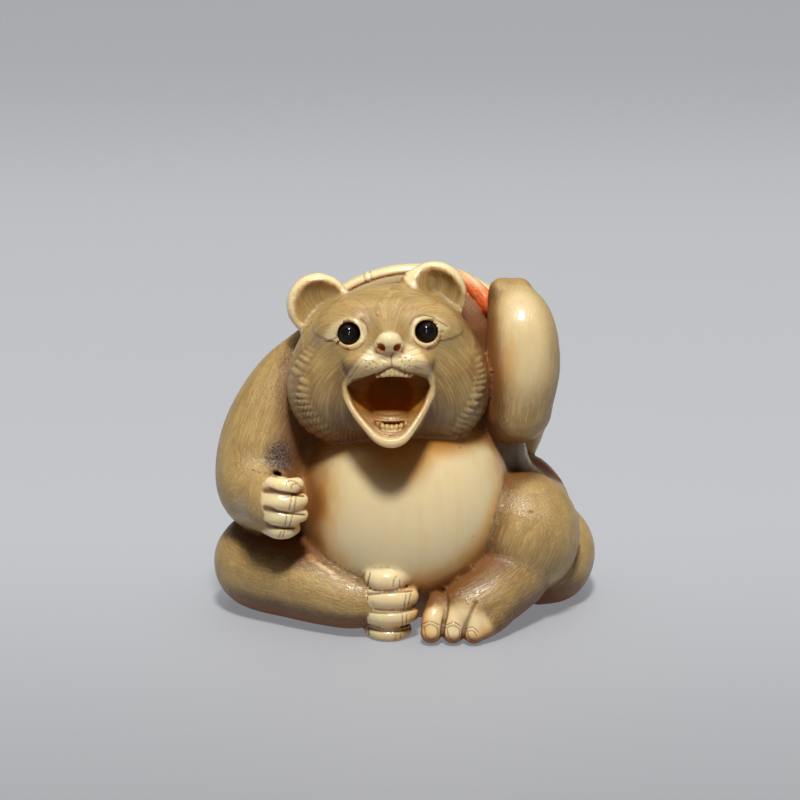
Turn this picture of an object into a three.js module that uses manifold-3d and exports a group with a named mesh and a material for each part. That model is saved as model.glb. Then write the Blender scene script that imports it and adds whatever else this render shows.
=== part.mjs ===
// Netsuke: a raccoon dog sitting with its mouth wide open. Its right fist rests on its knee, and its
// left paw is raised and holds the cord of the sedge hat that hangs on its back.
// Millimetres, +Z up. The animal faces -Y, so its own right side is at -X.
// The origin is on the ground, in the middle of the flat underside.

import * as THREE from "three";
import { mergeVertices } from "three/addons/utils/BufferGeometryUtils.js";
import Module from "manifold-3d";

const wasm = await Module();
wasm.setup();

// Driving dimensions of the head. Its own frame has X to its left ear, -Y out of the face and +Z up.
const HEAD_AT = [-1.5, -2.5, 25.3];
const HEAD_TILT = THREE.MathUtils.degToRad(-18);
const EYE_RADIUS = 1.12;
const EYE_GAP = 0.12;
const RIGHT_EYE_AT = [-3.8, -6.75, 3.45];
const LEFT_EYE_AT = [3.7, -6.75, 3.65];

// The hat is a shallow cone that hangs upright, with its hollow towards the animal's back.
const HAT_AT = [1.0, 9.4, 18.9];
const HAT_RADIUS = 13.7;
const HAT_DEPTH = 4.6;
const HAT_HOLLOW = 0.4;
const HAT_RIM_THICKNESS = 1.3;
const HAT_BAND = 1.5;
const HAT_BAND_RELIEF = 0.2;
const HAT_KNOB_RADIUS = 1.6;
const HAT_KNOB_RELIEF = 0.6;
const HAT_SIDES = 36;

// The channel for the hanging cord bends up into the body between two holes in the underside.
const CHANNEL_RADIUS = 1.7;
const CHANNEL_ROUTE = [[-5.2, 3.5, -2], [-4.4, 3.5, 3.2], [0, 3.5, 5.6], [4.4, 3.5, 3.2], [5.2, 3.5, -2]];

const GROUND_BLOCK = [80, 80, 20];

const LEAST_SIDES = 8;
const SIDES_PER_MM = 1.0;
const ROWS_PER_SIDE = 0.55;
const SMALL_RADIUS = 2;
const LIMB_ROWS_PER_SPAN = 2;

const IVORY = new THREE.MeshStandardMaterial({ color: 0xc4a36c, roughness: 0.35, metalness: 0 });
const HORN = new THREE.MeshStandardMaterial({ color: 0x0b0a0a, roughness: 0.08, metalness: 0 });

// A closed three.js geometry as a manifold-3d solid.
function solidOf(geometry, matrix = new THREE.Matrix4()) {
  const bare = geometry.clone().applyMatrix4(matrix);
  bare.deleteAttribute("normal");
  bare.deleteAttribute("uv");
  const merged = mergeVertices(bare, 1e-4);
  return new wasm.Manifold(
    new wasm.Mesh({
      numProp: 3,
      vertProperties: merged.attributes.position.array,
      triVerts: new Uint32Array(merged.index.array),
    }),
  );
}

function geometryOf(solid) {
  const mesh = solid.getMesh();
  const positions = new THREE.BufferAttribute(mesh.vertProperties, mesh.numProp);
  const geometry = new THREE.BufferGeometry();
  geometry.setAttribute("position", positions);
  geometry.setIndex(new THREE.BufferAttribute(mesh.triVerts, 1));
  geometry.computeVertexNormals();
  return geometry;
}

function frameOf(at, turnDegrees = [0, 0, 0]) {
  const turn = new THREE.Euler(...turnDegrees.map(THREE.MathUtils.degToRad));
  return new THREE.Matrix4().makeRotationFromEuler(turn).setPosition(...at);
}

const sidesFor = (radius) => LEAST_SIDES + Math.round(radius * SIDES_PER_MM);
const capRowsFor = (radius) => (radius < SMALL_RADIUS ? 2 : 3);

// An ellipsoid: where its middle is, its three half widths, and its turn about X, Y and Z in degrees.
function egg(at, halfWidths, turn = [0, 0, 0]) {
  const sides = sidesFor(Math.max(...halfWidths));
  const ball = new THREE.SphereGeometry(1, sides, Math.round(sides * ROWS_PER_SIDE));
  const matrix = frameOf(at, turn).multiply(new THREE.Matrix4().makeScale(...halfWidths));
  return solidOf(ball, matrix);
}

// A limb with round ends that swells and thins along a smooth curve. Each station is x, y, z and radius.
function limb(stations) {
  const widest = Math.max(...stations.map((station) => station[3]));
  const sides = sidesFor(widest);
  const capRows = capRowsFor(widest);
  const curve = new THREE.CatmullRomCurve3(stations.map(([x, y, z]) => new THREE.Vector3(x, y, z)));
  const spans = stations.length - 1;
  const bodyRows = spans * LIMB_ROWS_PER_SPAN;
  const frames = curve.computeFrenetFrames(bodyRows);
  const radiusAt = (t) => {
    const span = Math.min(Math.floor(t * spans), spans - 1);
    const share = THREE.MathUtils.smoothstep(t * spans - span, 0, 1);
    return THREE.MathUtils.lerp(stations[span][3], stations[span + 1][3], share);
  };
  // Each row is a ring: its place along the curve, its offset past the end and its share of the radius.
  const rows = [];
  for (let i = 0; i < capRows; i++) {
    const angle = ((i / capRows) * Math.PI) / 2;
    rows.push({ row: 0, past: -Math.cos(angle), share: Math.sin(angle) });
  }
  for (let i = 0; i <= bodyRows; i++) rows.push({ row: i, past: 0, share: 1 });
  for (let i = capRows - 1; i >= 0; i--) {
    const angle = ((i / capRows) * Math.PI) / 2;
    rows.push({ row: bodyRows, past: Math.cos(angle), share: Math.sin(angle) });
  }
  // A sphere's own grid of rows and sides, wrapped round the curve.
  const geometry = new THREE.SphereGeometry(1, sides, rows.length - 1);
  const position = geometry.attributes.position;
  rows.forEach(({ row, past, share }, rowIndex) => {
    const t = curve.getUtoTmapping(row / bodyRows);
    const centre = curve.getPoint(t);
    const radius = radiusAt(t);
    for (let side = 0; side <= sides; side++) {
      const angle = ((side % sides) / sides) * Math.PI * 2;
      const point = centre
        .clone()
        .addScaledVector(frames.tangents[row], past * radius)
        .addScaledVector(frames.normals[row], Math.cos(angle) * share * radius)
        .addScaledVector(frames.binormals[row], Math.sin(angle) * share * radius);
      position.setXYZ(rowIndex * (sides + 1) + side, point.x, point.y, point.z);
    }
  });
  const made = solidOf(geometry);
  if (made.volume() > 0) return made;
  const index = geometry.index;
  for (let i = 0; i < index.count; i += 3) {
    const second = index.getX(i + 1);
    index.setX(i + 1, index.getX(i + 2));
    index.setX(i + 2, second);
  }
  return solidOf(geometry);
}

const join = (solids) => solids.reduce((whole, solid) => whole.add(solid));

const inHead = frameOf([0, 0, 0]).makeRotationX(HEAD_TILT).setPosition(...HEAD_AT);
const toWorld = (solid) => solid.transform(inHead.elements);

function torso() {
  const belly = egg([0, -1, 10.9], [10.8, 10.4, 12]);
  const chest = egg([-0.5, 2.5, 17.5], [10.5, 8.2, 8.5]);
  const back = egg([0, 3, 11], [12.5, 7.5, 12]);
  const nape = egg([0, 5.6, 24.7], [8.8, 4.4, 7.1]);
  const leftShoulder = egg([6.5, 5.8, 23.6], [5.4, 3.0, 7.0]);
  const leftHaunch = egg([7, 3, 6], [11, 8, 8.5]);
  const rightHaunch = egg([-7, 3, 6.5], [9, 7.4, 8]);
  return join([belly, chest, back, nape, leftShoulder, leftHaunch, rightHaunch]);
}

function head() {
  const skull = egg([0, 0.5, 0.5], [9.2, 7.8, 7.9]);
  const cheeks = [-1, 1].map((side) => egg([side * 4.85, -0.2, -1.9], [5.0, 5.4, 5.1]));
  const brows = [-1, 1].map((side) => egg([side * 3.9, -4.6, 4.0], [3.0, 2.7, 2.4]));
  const snout = egg([0.05, -7.4, 1.7], [2.7, 3.2, 2.5]);
  const nose = egg([0, -10.1, 2.7], [1.3, 1.0, 1.0]);
  const lipPads = [-1, 1].map((side) => egg([side * 2.1, -7.7, 0.35], [2.5, 2.5, 1.8]));
  const jaw = egg([0.25, -6.1, -3.1], [4.3, 3.7, 4.7]);
  const whole = join([skull, ...cheeks, ...brows, snout, nose, ...lipPads, jaw]);
  // The mouth is widest under the upper teeth, narrows to the chin, and opens out again inside.
  const mouth = join([
    egg([0.05, -9.0, -2.0], [3.8, 4.6, 1.5]),
    egg([0.2, -9.0, -3.4], [3.1, 4.6, 2.3]),
    egg([0.35, -9.0, -4.9], [1.9, 3.6, 1.5]),
    egg([0.1, -5.8, -2.4], [3.6, 4.2, 3.1]),
  ]);
  const tongue = egg([0.2, -5.2, -5.5], [2.1, 3.0, 1.2], [-14, 0, 0]);
  const teeth = [
    limb([[-1.7, -8.5, -0.6, 0.4], [0.1, -9.2, -0.5, 0.45], [1.9, -8.5, -0.6, 0.4]]),
    limb([[-1.3, -8.1, -5.7, 0.4], [0.3, -8.8, -6.2, 0.45], [1.9, -8.1, -5.7, 0.4]]),
  ];
  const sockets = join([RIGHT_EYE_AT, LEFT_EYE_AT].map((at) => egg(at, Array(3).fill(EYE_RADIUS + EYE_GAP))));
  const ears = join([ear([-6.9, 1.0, 6.5], 3.15, -25), ear([4.6, 1.2, 7.7], 3.1, 25)]);
  return toWorld(join([whole.subtract(mouth), ears, tongue, ...teeth]).subtract(sockets));
}

// A cupped ear: a thick disc with a hollow in its front.
function ear(at, radius, lean) {
  const disc = egg(at, [radius, 1.7, radius], [0, lean, 0]);
  const hollow = egg([at[0], at[1] - 1.5, at[2] - 0.3], [radius * 0.76, 1.7, radius * 0.74], [0, lean, 0]);
  return disc.subtract(hollow);
}

function rightArm() {
  const arm = limb([
    [-8.3, 3.5, 25.0, 3.4],
    [-10.8, 3.0, 20.8, 5.0],
    [-12.6, 1.5, 16.6, 5.5],
    [-13.8, -1.2, 13.3, 4.8],
    [-13.4, -4.6, 12.6, 3.6],
    [-12.9, -7.4, 12.9, 2.9],
  ]);
  const palm = egg([-11.8, -8.7, 13.2], [2.9, 1.9, 3.0]);
  return join([arm, palm, ...fingers([-14.2, -9.6, 13.2], [-9.6, -10.4, 13.3], 1.45, 0.85)]);
}

// A stack of four fingers or toes, each a short limb bent round the paw, from one side of it to the other.
function fingers(from, to, pitch, radius) {
  const bulge = 0.7;
  const middle = from.map((value, axis) => (value + to[axis]) / 2);
  return [1.5, 0.5, -0.5, -1.5].map((step) => limb([
    [from[0], from[1] + bulge, from[2] + step * pitch, radius],
    [middle[0], middle[1] - bulge / 2, middle[2] + step * pitch, radius * 1.1],
    [to[0], to[1] + bulge, to[2] + step * pitch, radius * 0.85],
  ]));
}

function leftArm() {
  return join([
    limb([
      [5.5, 5.0, 22.0, 4.4],
      [9.0, 2.8, 20.8, 4.2],
      [11.6, -0.4, 20.6, 3.7],
    ]),
    limb([
      [11.6, -0.9, 20.8, 3.7],
      [11.9, -0.5, 25.2, 3.8],
      [11.6, 0.8, 29.0, 3.4],
      [10.4, 3.4, 31.0, 2.5],
    ]),
    ...[9.4, 11.2].map((x) => egg([x, 3.4, 31.9], [1.1, 1.6, 1.2])),
  ]);
}

function rightLeg() {
  return join([
    limb([
      [-7.0, 3.5, 6.0, 5.8],
      [-14.4, -0.6, 4.7, 4.7],
      [-10.2, -4.8, 4.2, 4.2],
      [-5.6, -8.4, 3.4, 3.2],
      [-2.6, -10.0, 3.2, 3.0],
    ]),
    ...fingers([-3.4, -11.0, 3.1], [0.9, -11.4, 3.1], 1.8, 1.02),
  ]);
}

function leftLeg() {
  return join([
    egg([11.9, -2.2, 8.0], [5.8, 6.2, 6.3]),
    limb([
      [10.8, -5.2, 4.8, 3.8],
      [8.8, -8.0, 3.6, 3.3],
      [6.4, -9.8, 2.6, 2.9],
    ]),
    ...[2.9, 5.0, 7.1].map((x) => limb([
      [x + 1.0, -9.6, 2.6, 1.5],
      [x + 0.3, -11.5, 2.0, 1.3],
      [x, -12.5, 1.1, 1.1],
    ])),
  ]);
}

function tail() {
  return limb([
    [-1.0, 10.0, 3.4, 2.6],
    [7.5, 10.6, 4.4, 4.0],
    [14.0, 5.0, 4.6, 4.7],
    [15.6, 0.4, 3.8, 3.8],
    [13.6, -2.4, 2.2, 2.2],
  ]);
}

// The hat's outline, from the rim's front face over the rim and the back to the middle. Each point is
// a radius and a distance in front of the rim's plane.
function hatOutline() {
  const half = HAT_RIM_THICKNESS / 2;
  const bandEdge = HAT_RADIUS - HAT_BAND;
  const crown = [0.78, 0.5, 0.24].map((share) => {
    const radius = bandEdge * share;
    return [radius, -half - HAT_BAND_RELIEF - HAT_DEPTH * Math.pow(1 - share, 0.85)];
  });
  return [
    [0, -HAT_HOLLOW],
    [bandEdge - 0.4, -HAT_HOLLOW],
    [bandEdge, half],
    [HAT_RADIUS - 0.3, half],
    [HAT_RADIUS, half - 0.3],
    [HAT_RADIUS, -half],
    [bandEdge, -half - 0.2],
    [bandEdge, -half],
    ...crown,
    [HAT_KNOB_RADIUS, -HAT_DEPTH - half],
    [HAT_KNOB_RADIUS, -HAT_DEPTH - half - HAT_KNOB_RELIEF],
    [0, -HAT_DEPTH - half - HAT_KNOB_RELIEF],
  ];
}

function hat() {
  const profile = hatOutline().reverse();
  const lathe = new THREE.LatheGeometry(profile.map(([x, y]) => new THREE.Vector2(x, y)), HAT_SIDES);
  // The lathe turns about its own Y, which points out of the hat's hollow, so it is turned to face -Y.
  const matrix = new THREE.Matrix4().makeRotationX(Math.PI).setPosition(...HAT_AT);
  return solidOf(lathe, matrix);
}

// The cord comes over the hat's rim and widens down to the raised paw.
function cord() {
  return limb([
    [4.5, 9.2, 31.7, 0.6],
    [6.1, 7.4, 31.4, 0.9],
    [7.6, 5.6, 30.5, 1.1],
    [8.9, 4.2, 29.3, 1.2],
  ]);
}

function figure() {
  const carved = join([torso(), rightArm(), leftArm(), rightLeg(), leftLeg(), tail(), hat(), cord(), head()]);
  const ground = solidOf(
    new THREE.BoxGeometry(...GROUND_BLOCK),
    new THREE.Matrix4().setPosition(0, 0, -GROUND_BLOCK[2] / 2),
  );
  const channel = limb(CHANNEL_ROUTE.map((point) => [...point, CHANNEL_RADIUS]));
  return carved.subtract(ground).subtract(channel);
}

function meshOf(name, solid, material) {
  const mesh = new THREE.Mesh(geometryOf(solid), material);
  mesh.name = name;
  return mesh;
}

const netsuke = new THREE.Group();
netsuke.add(meshOf("figure", figure(), IVORY));
for (const [name, at] of [["eye_right", RIGHT_EYE_AT], ["eye_left", LEFT_EYE_AT]]) {
  netsuke.add(meshOf(name, toWorld(egg(at, Array(3).fill(EYE_RADIUS))), HORN));
}

export default netsuke;
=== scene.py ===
"""A netsuke: a raccoon dog carved from one piece of ivory, with inlaid eyes of black horn.

Shapes are worked out in millimetres, +Z up, with the animal facing -Y, and turned into metres at the end.
"""

import math

import bpy
import numpy as np
import openvdb
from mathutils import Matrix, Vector


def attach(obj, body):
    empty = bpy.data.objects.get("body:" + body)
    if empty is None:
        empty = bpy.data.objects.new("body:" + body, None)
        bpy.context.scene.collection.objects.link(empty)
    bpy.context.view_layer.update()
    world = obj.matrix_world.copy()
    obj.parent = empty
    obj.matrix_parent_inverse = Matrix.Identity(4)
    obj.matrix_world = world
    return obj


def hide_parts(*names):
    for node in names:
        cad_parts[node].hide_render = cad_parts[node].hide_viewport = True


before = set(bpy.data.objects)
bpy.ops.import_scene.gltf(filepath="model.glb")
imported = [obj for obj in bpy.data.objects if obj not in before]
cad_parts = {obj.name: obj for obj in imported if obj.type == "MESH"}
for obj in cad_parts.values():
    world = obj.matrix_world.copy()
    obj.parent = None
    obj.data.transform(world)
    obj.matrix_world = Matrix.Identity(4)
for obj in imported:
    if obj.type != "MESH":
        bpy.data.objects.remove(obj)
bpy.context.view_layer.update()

MM = 0.001

# The head's own frame: X to its left ear, -Y out of the face and +Z up.
HEAD_AT = np.array([-1.5, -2.5, 25.3])
HEAD_TILT = -18.0
RIGHT_EYE_AT = (-3.82, -6.75, 3.5)
LEFT_EYE_AT = (3.72, -6.75, 3.68)
EYE_RADIUS = 1.12
EYE_RINGS = 20
EYE_SIDES = 48

HAT_AT = np.array([1.2, 9.4, 18.9])
HAT_RADIUS = 13.7
HAT_DEPTH = 4.6
HAT_RIM_HALF = 0.65
HAT_BAND = 1.5
HAT_STRIPS = 40
HAT_RING = 2.5
HAT_BINDINGS = 10
HAT_FIRST_BINDING = math.radians(111.0)
# The bindings wrap what lies outside this radius.
HAT_BOUND = HAT_RADIUS - 0.62

# The grid that the surface is first made on, the space that it fills, the furthest distance that it holds,
# and how far from its box a mass is worked out exactly.
GRID = 0.45
GRID_LOW = np.array([-20.4, -15.0, -0.9])
GRID_HIGH = np.array([20.4, 16.8, 36.6])
FAR = 2.0
REACH = 1.5


# Distance functions

def turned(degrees):
    """A rotation about X, then Y, then Z of the turned body, as a matrix."""
    x, y, z = (math.radians(angle) for angle in degrees)
    rx = np.array([[1, 0, 0], [0, math.cos(x), -math.sin(x)], [0, math.sin(x), math.cos(x)]])
    ry = np.array([[math.cos(y), 0, math.sin(y)], [0, 1, 0], [-math.sin(y), 0, math.cos(y)]])
    rz = np.array([[math.cos(z), -math.sin(z), 0], [math.sin(z), math.cos(z), 0], [0, 0, 1]])
    return rx @ ry @ rz


HEAD_TURN = turned((HEAD_TILT, 0, 0))


def to_head(points):
    return (points - HEAD_AT) @ HEAD_TURN


def length(vectors):
    return np.sqrt(np.einsum("ij,ij->i", vectors, vectors))


def smooth_min(a, b, width):
    """The nearer of two distances, rounded where they meet over this width."""
    h = np.maximum(width - np.abs(a - b), 0) / width
    return np.minimum(a, b) - h * h * width * 0.25


def smooth_max(a, b, width):
    return -smooth_min(-a, -b, width)


def step(low, high, x):
    """0 below low, 1 above high and smooth between."""
    t = np.clip((x - low) / (high - low), 0, 1)
    return t * t * (3 - 2 * t)


def spline(stations, steps):
    """A smooth curve through the stations, with this many steps between two of them."""
    at = np.asarray(stations, float)
    ends = np.vstack([2 * at[0] - at[1], at, 2 * at[-1] - at[-2]])
    line = []
    for a, b, c, d in zip(ends[:-3], ends[1:-2], ends[2:-1], ends[3:]):
        for t in np.arange(steps) / steps:
            bend = (2 * a - 5 * b + 4 * c - d) * t**2 + (3 * b - a - 3 * c + d) * t**3
            line.append(b + 0.5 * ((c - a) * t + bend))
    return np.array([*line, at[-1]])


class Mass:
    """One rounded mass. It knows its box, so that points far from it cost little."""

    def __init__(self, low, high):
        self.low, self.high = np.asarray(low), np.asarray(high)

    def __call__(self, points):
        gap = np.maximum(np.maximum(self.low - points, points - self.high), 0)
        away = length(gap)
        out = away + 0.01
        near = away < REACH
        if near.any():
            out[near] = self.distance(points[near])
        return out


class Egg(Mass):
    """An ellipsoid. Its hair runs along the direction flow."""

    def __init__(self, at, half, turn=(0, 0, 0), head=False, flow=(0, 0, -1)):
        matrix = turned(turn)
        at = np.asarray(at, float)
        if head:
            matrix = HEAD_TURN @ matrix
            at = HEAD_AT + HEAD_TURN @ at
        self.at, self.half, self.matrix = at, np.asarray(half, float), matrix
        along = np.asarray(flow, float) / np.linalg.norm(flow)
        side = np.cross(along, (0.3, 1.0, 0.2))
        side /= np.linalg.norm(side)
        self.axes = np.stack([along, side, np.cross(along, side)], 1)
        extent = np.sqrt(((matrix * self.half) ** 2).sum(1))
        super().__init__(at - extent, at + extent)

    def distance(self, points):
        local = (points - self.at) @ self.matrix
        near = length(local / self.half)
        slope = length(local / self.half**2)
        return near * (near - 1) / np.maximum(slope, 1e-6)

    def grain(self, points):
        return (points - self.at) @ self.axes


class Block(Egg):
    """A small block with round edges."""

    ROUND = 0.1

    def distance(self, points):
        local = np.abs((points - self.at) @ self.matrix) - (self.half - self.ROUND)
        return length(np.maximum(local, 0)) + np.minimum(local.max(1), 0) - self.ROUND


class Limb(Mass):
    """A limb with round ends along a smooth curve through stations of x, y, z and radius."""

    def __init__(self, stations, head=False):
        at = np.array(stations, float)
        if head:
            at[:, :3] = HEAD_AT + at[:, :3] @ HEAD_TURN.T
        self.line = spline(at, 5 if at[:, 3].max() < 2 else 9)
        centres, radii = self.line[:, :3], self.line[:, 3]
        self.reached = np.concatenate([[0], np.cumsum(length(np.diff(centres, axis=0)))])
        super().__init__((centres - radii[:, None]).min(0), (centres + radii[:, None]).max(0))

    def nearest(self, points):
        best = np.full(len(points), np.inf)
        where = np.zeros(len(points))
        across = np.zeros((len(points), 3))
        for i in range(len(self.line) - 1):
            start, span = self.line[i, :3], self.line[i + 1, :3] - self.line[i, :3]
            local = points - start
            t = np.clip(local @ span / (span @ span), 0, 1)
            off = local - t[:, None] * span
            d = length(off) - (self.line[i, 3] + t * (self.line[i + 1, 3] - self.line[i, 3]))
            closer = d < best
            best[closer] = d[closer]
            where[closer] = (self.reached[i] + t * (self.reached[i + 1] - self.reached[i]))[closer]
            across[closer] = off[closer]
        return best, where, across

    def distance(self, points):
        return self.nearest(points)[0]

    def grain(self, points):
        _, along, across = self.nearest(points)
        mean = self.line[-1, :3] - self.line[0, :3]
        mean /= np.linalg.norm(mean)
        side = np.cross(mean, (0.2, 1.0, 0.3))
        side /= np.linalg.norm(side)
        return np.stack([along, across @ side, across @ np.cross(mean, side)], 1)


def added(whole, masses, points, width):
    """The distance whole with each of these masses flowing into it over this width."""
    for mass in masses:
        whole = smooth_min(whole, mass(points), width)
    return whole


def joined(masses, points, width):
    return added(masses[0](points), masses[1:], points, width)


def head_eggs(rows):
    """Eggs in the head's frame: each row has the middle, the half sizes and sometimes a turn."""
    return [Egg(*row, head=True) for row in rows]


def line_distance(x, y, line):
    """Distance in a plane to an open line of points."""
    nearest = np.full(len(x), np.inf)
    for (ax, ay), (bx, by) in zip(line[:-1], line[1:]):
        ex, ey = bx - ax, by - ay
        wx, wy = x - ax, y - ay
        t = np.clip((wx * ex + wy * ey) / (ex * ex + ey * ey), 0, 1)
        nearest = np.minimum(nearest, (wx - ex * t) ** 2 + (wy - ey * t) ** 2)
    return np.sqrt(nearest)


def outline_distance(x, y, corners):
    """Signed distance in a plane to a closed outline, negative inside."""
    closed = [*corners, corners[0]]
    inside = np.zeros(len(x), bool)
    for (ax, ay), (bx, by) in zip(closed[:-1], closed[1:]):
        if ay != by:
            inside ^= ((ay <= y) != (by <= y)) & (x - ax < (bx - ax) * (y - ay) / (by - ay))
    return np.where(inside, -1, 1) * line_distance(x, y, closed)


# The masses of the carving

class Mouth:
    """The open mouth in the head's frame: its outline, the lips' rim, the teeth and the tongue."""

    OUTLINE = [
        (-4.0, -1.7), (-3.5, -1.1), (-2.3, -0.75), (-1.1, -0.3), (0.25, -0.05), (1.6, -0.3), (2.9, -0.45),
        (3.75, -0.85), (4.05, -1.7), (3.65, -3.1), (2.9, -4.5), (2.0, -5.7), (1.1, -6.4), (0.3, -6.6),
        (-0.6, -6.4), (-1.6, -5.7), (-2.9, -4.4), (-3.7, -3.1),
    ]
    # The lips' rim from one corner of the mouth round the chin to the other, with its radius.
    RIM = [
        (-4.05, -6.0, -1.1, 0.24), (-4.05, -6.25, -2.0, 0.28), (-3.75, -6.8, -3.3, 0.31),
        (-2.95, -7.5, -4.65, 0.34), (-1.9, -8.1, -5.95, 0.38), (-0.9, -8.55, -6.85, 0.46),
        (0.35, -8.75, -7.15, 0.52), (1.45, -8.55, -6.8, 0.46), (2.35, -8.1, -5.75, 0.38),
        (3.2, -7.5, -4.4, 0.34), (3.85, -6.8, -3.1, 0.31), (4.15, -6.25, -1.8, 0.28),
        (4.15, -6.0, -0.9, 0.24),
    ]
    UPPER_LIP = [
        (-4.05, -6.0, -1.2, 0.25), (-3.3, -7.3, -0.62, 0.42), (-1.9, -8.75, -0.05, 0.45),
        (-0.9, -9.25, 0.28, 0.42), (0.25, -9.35, 0.62, 0.34), (1.4, -9.25, 0.3, 0.42),
        (2.3, -8.75, 0.1, 0.45), (3.5, -7.3, -0.2, 0.42), (4.15, -6.0, -0.9, 0.25),
    ]
    UPPER_GUM = [(-1.8, -8.3, -0.1, 0.4), (0.5, -8.9, 0.1, 0.4), (2.8, -8.3, -0.1, 0.4)]
    LOWER_GUM = [
        (-2.0, -6.5, -5.2, 0.4), (-1.3, -7.2, -5.95, 0.45), (0.3, -7.8, -6.35, 0.5), (1.9, -7.2, -5.9, 0.45),
        (2.5, -6.5, -5.1, 0.4),
    ]
    BACK = -2.6
    JAW_THICKNESS = 0.52
    # Half sizes of a tooth.
    UPPER_TOOTH = (0.225, 0.35, 0.5)
    LOWER_TOOTH = (0.25, 0.35, 0.42)

    def __init__(self):
        self.rim = Limb(self.RIM, head=True)
        self.upper_lip = Limb(self.UPPER_LIP, head=True)
        self.gums = [Limb(line, head=True) for line in (self.LOWER_GUM, self.UPPER_GUM)]
        self.tongue = head_eggs([
            ((0.2, -5.9, -4.8), (2.4, 1.5, 0.62), (10, 0, 0)),
            ((0.2, -4.4, -4.6), (2.3, 2.0, 0.7), (-5, 0, 0)),
        ])
        upper_places, lower_places = np.linspace(-1.0, 2.2, 8), np.linspace(-1.05, 1.75, 7)
        self.both_rows = [
            *self.tooth_row(Block, self.UPPER_TOOTH, upper_places, (0.5, -9.05, -0.22), (0.16, -0.05)),
            *self.tooth_row(Egg, self.LOWER_TOOTH, lower_places, (0.35, -7.85, -5.75), (0.3, 0.16)),
        ]

    def tooth_row(self, kind, half, places, middle, bend):
        """Teeth at these places in x, in a row that bends back, and up or down, away from its middle."""
        x, y, z = middle
        return [
            kind((at, y + bend[0] * (at - x) ** 2, z + bend[1] * (at - x) ** 2), half, head=True)
            for at in places
        ]

    def front(self, z):
        """How far out of the face the mouth's edge is at this height."""
        return np.clip(-6.2 + (z + 1.3) * 0.43, -8.8, -6.2)

    def around_and_behind(self, local):
        """How far each point is outside the outline, and how far behind the mouth's edge."""
        x, y, z = local.T
        return outline_distance(x, z, self.OUTLINE), y - self.front(z)

    def jaw(self, local):
        around, behind = self.around_and_behind(local)
        return smooth_max(around - self.JAW_THICKNESS + 0.3 * np.clip(behind, 0, 3), -behind, 0.4) * 0.9

    def hollow(self, local):
        """A wide shallow funnel behind the lips, and a deeper hole in its middle."""
        x, y, z = local.T
        around, behind = self.around_and_behind(local)
        funnel = around + 0.75 * np.clip(behind - 0.2, 0, 3)
        hole = np.hypot((x - 0.2) / 2.5, (z + 2.5) / 2.15) * 2.3 - 2.3 + 0.1 * np.clip(behind, 0, 6)
        deep = smooth_max(np.maximum(hole, around + 0.3), y - self.BACK, 0.6)
        return smooth_min(smooth_max(funnel, behind - 3.0, 0.6), deep, 1.0)

    def inside(self, points):
        return smooth_min(joined(self.tongue, points, 0.6), joined(self.gums, points, 0.2), 0.2)

    def teeth(self, points):
        return joined(self.both_rows, points, 0.06)

    def depth(self, local):
        """How deep in the mouth each point is: 0 on the lips and 1 at the throat."""
        around, behind = self.around_and_behind(local)
        chin = step(-3.6, -4.6, local[:, 2])
        return step(0.1, 2.2, behind - 1.6 * chin) * (1 - step(-0.3, 0.25, around))


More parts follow.
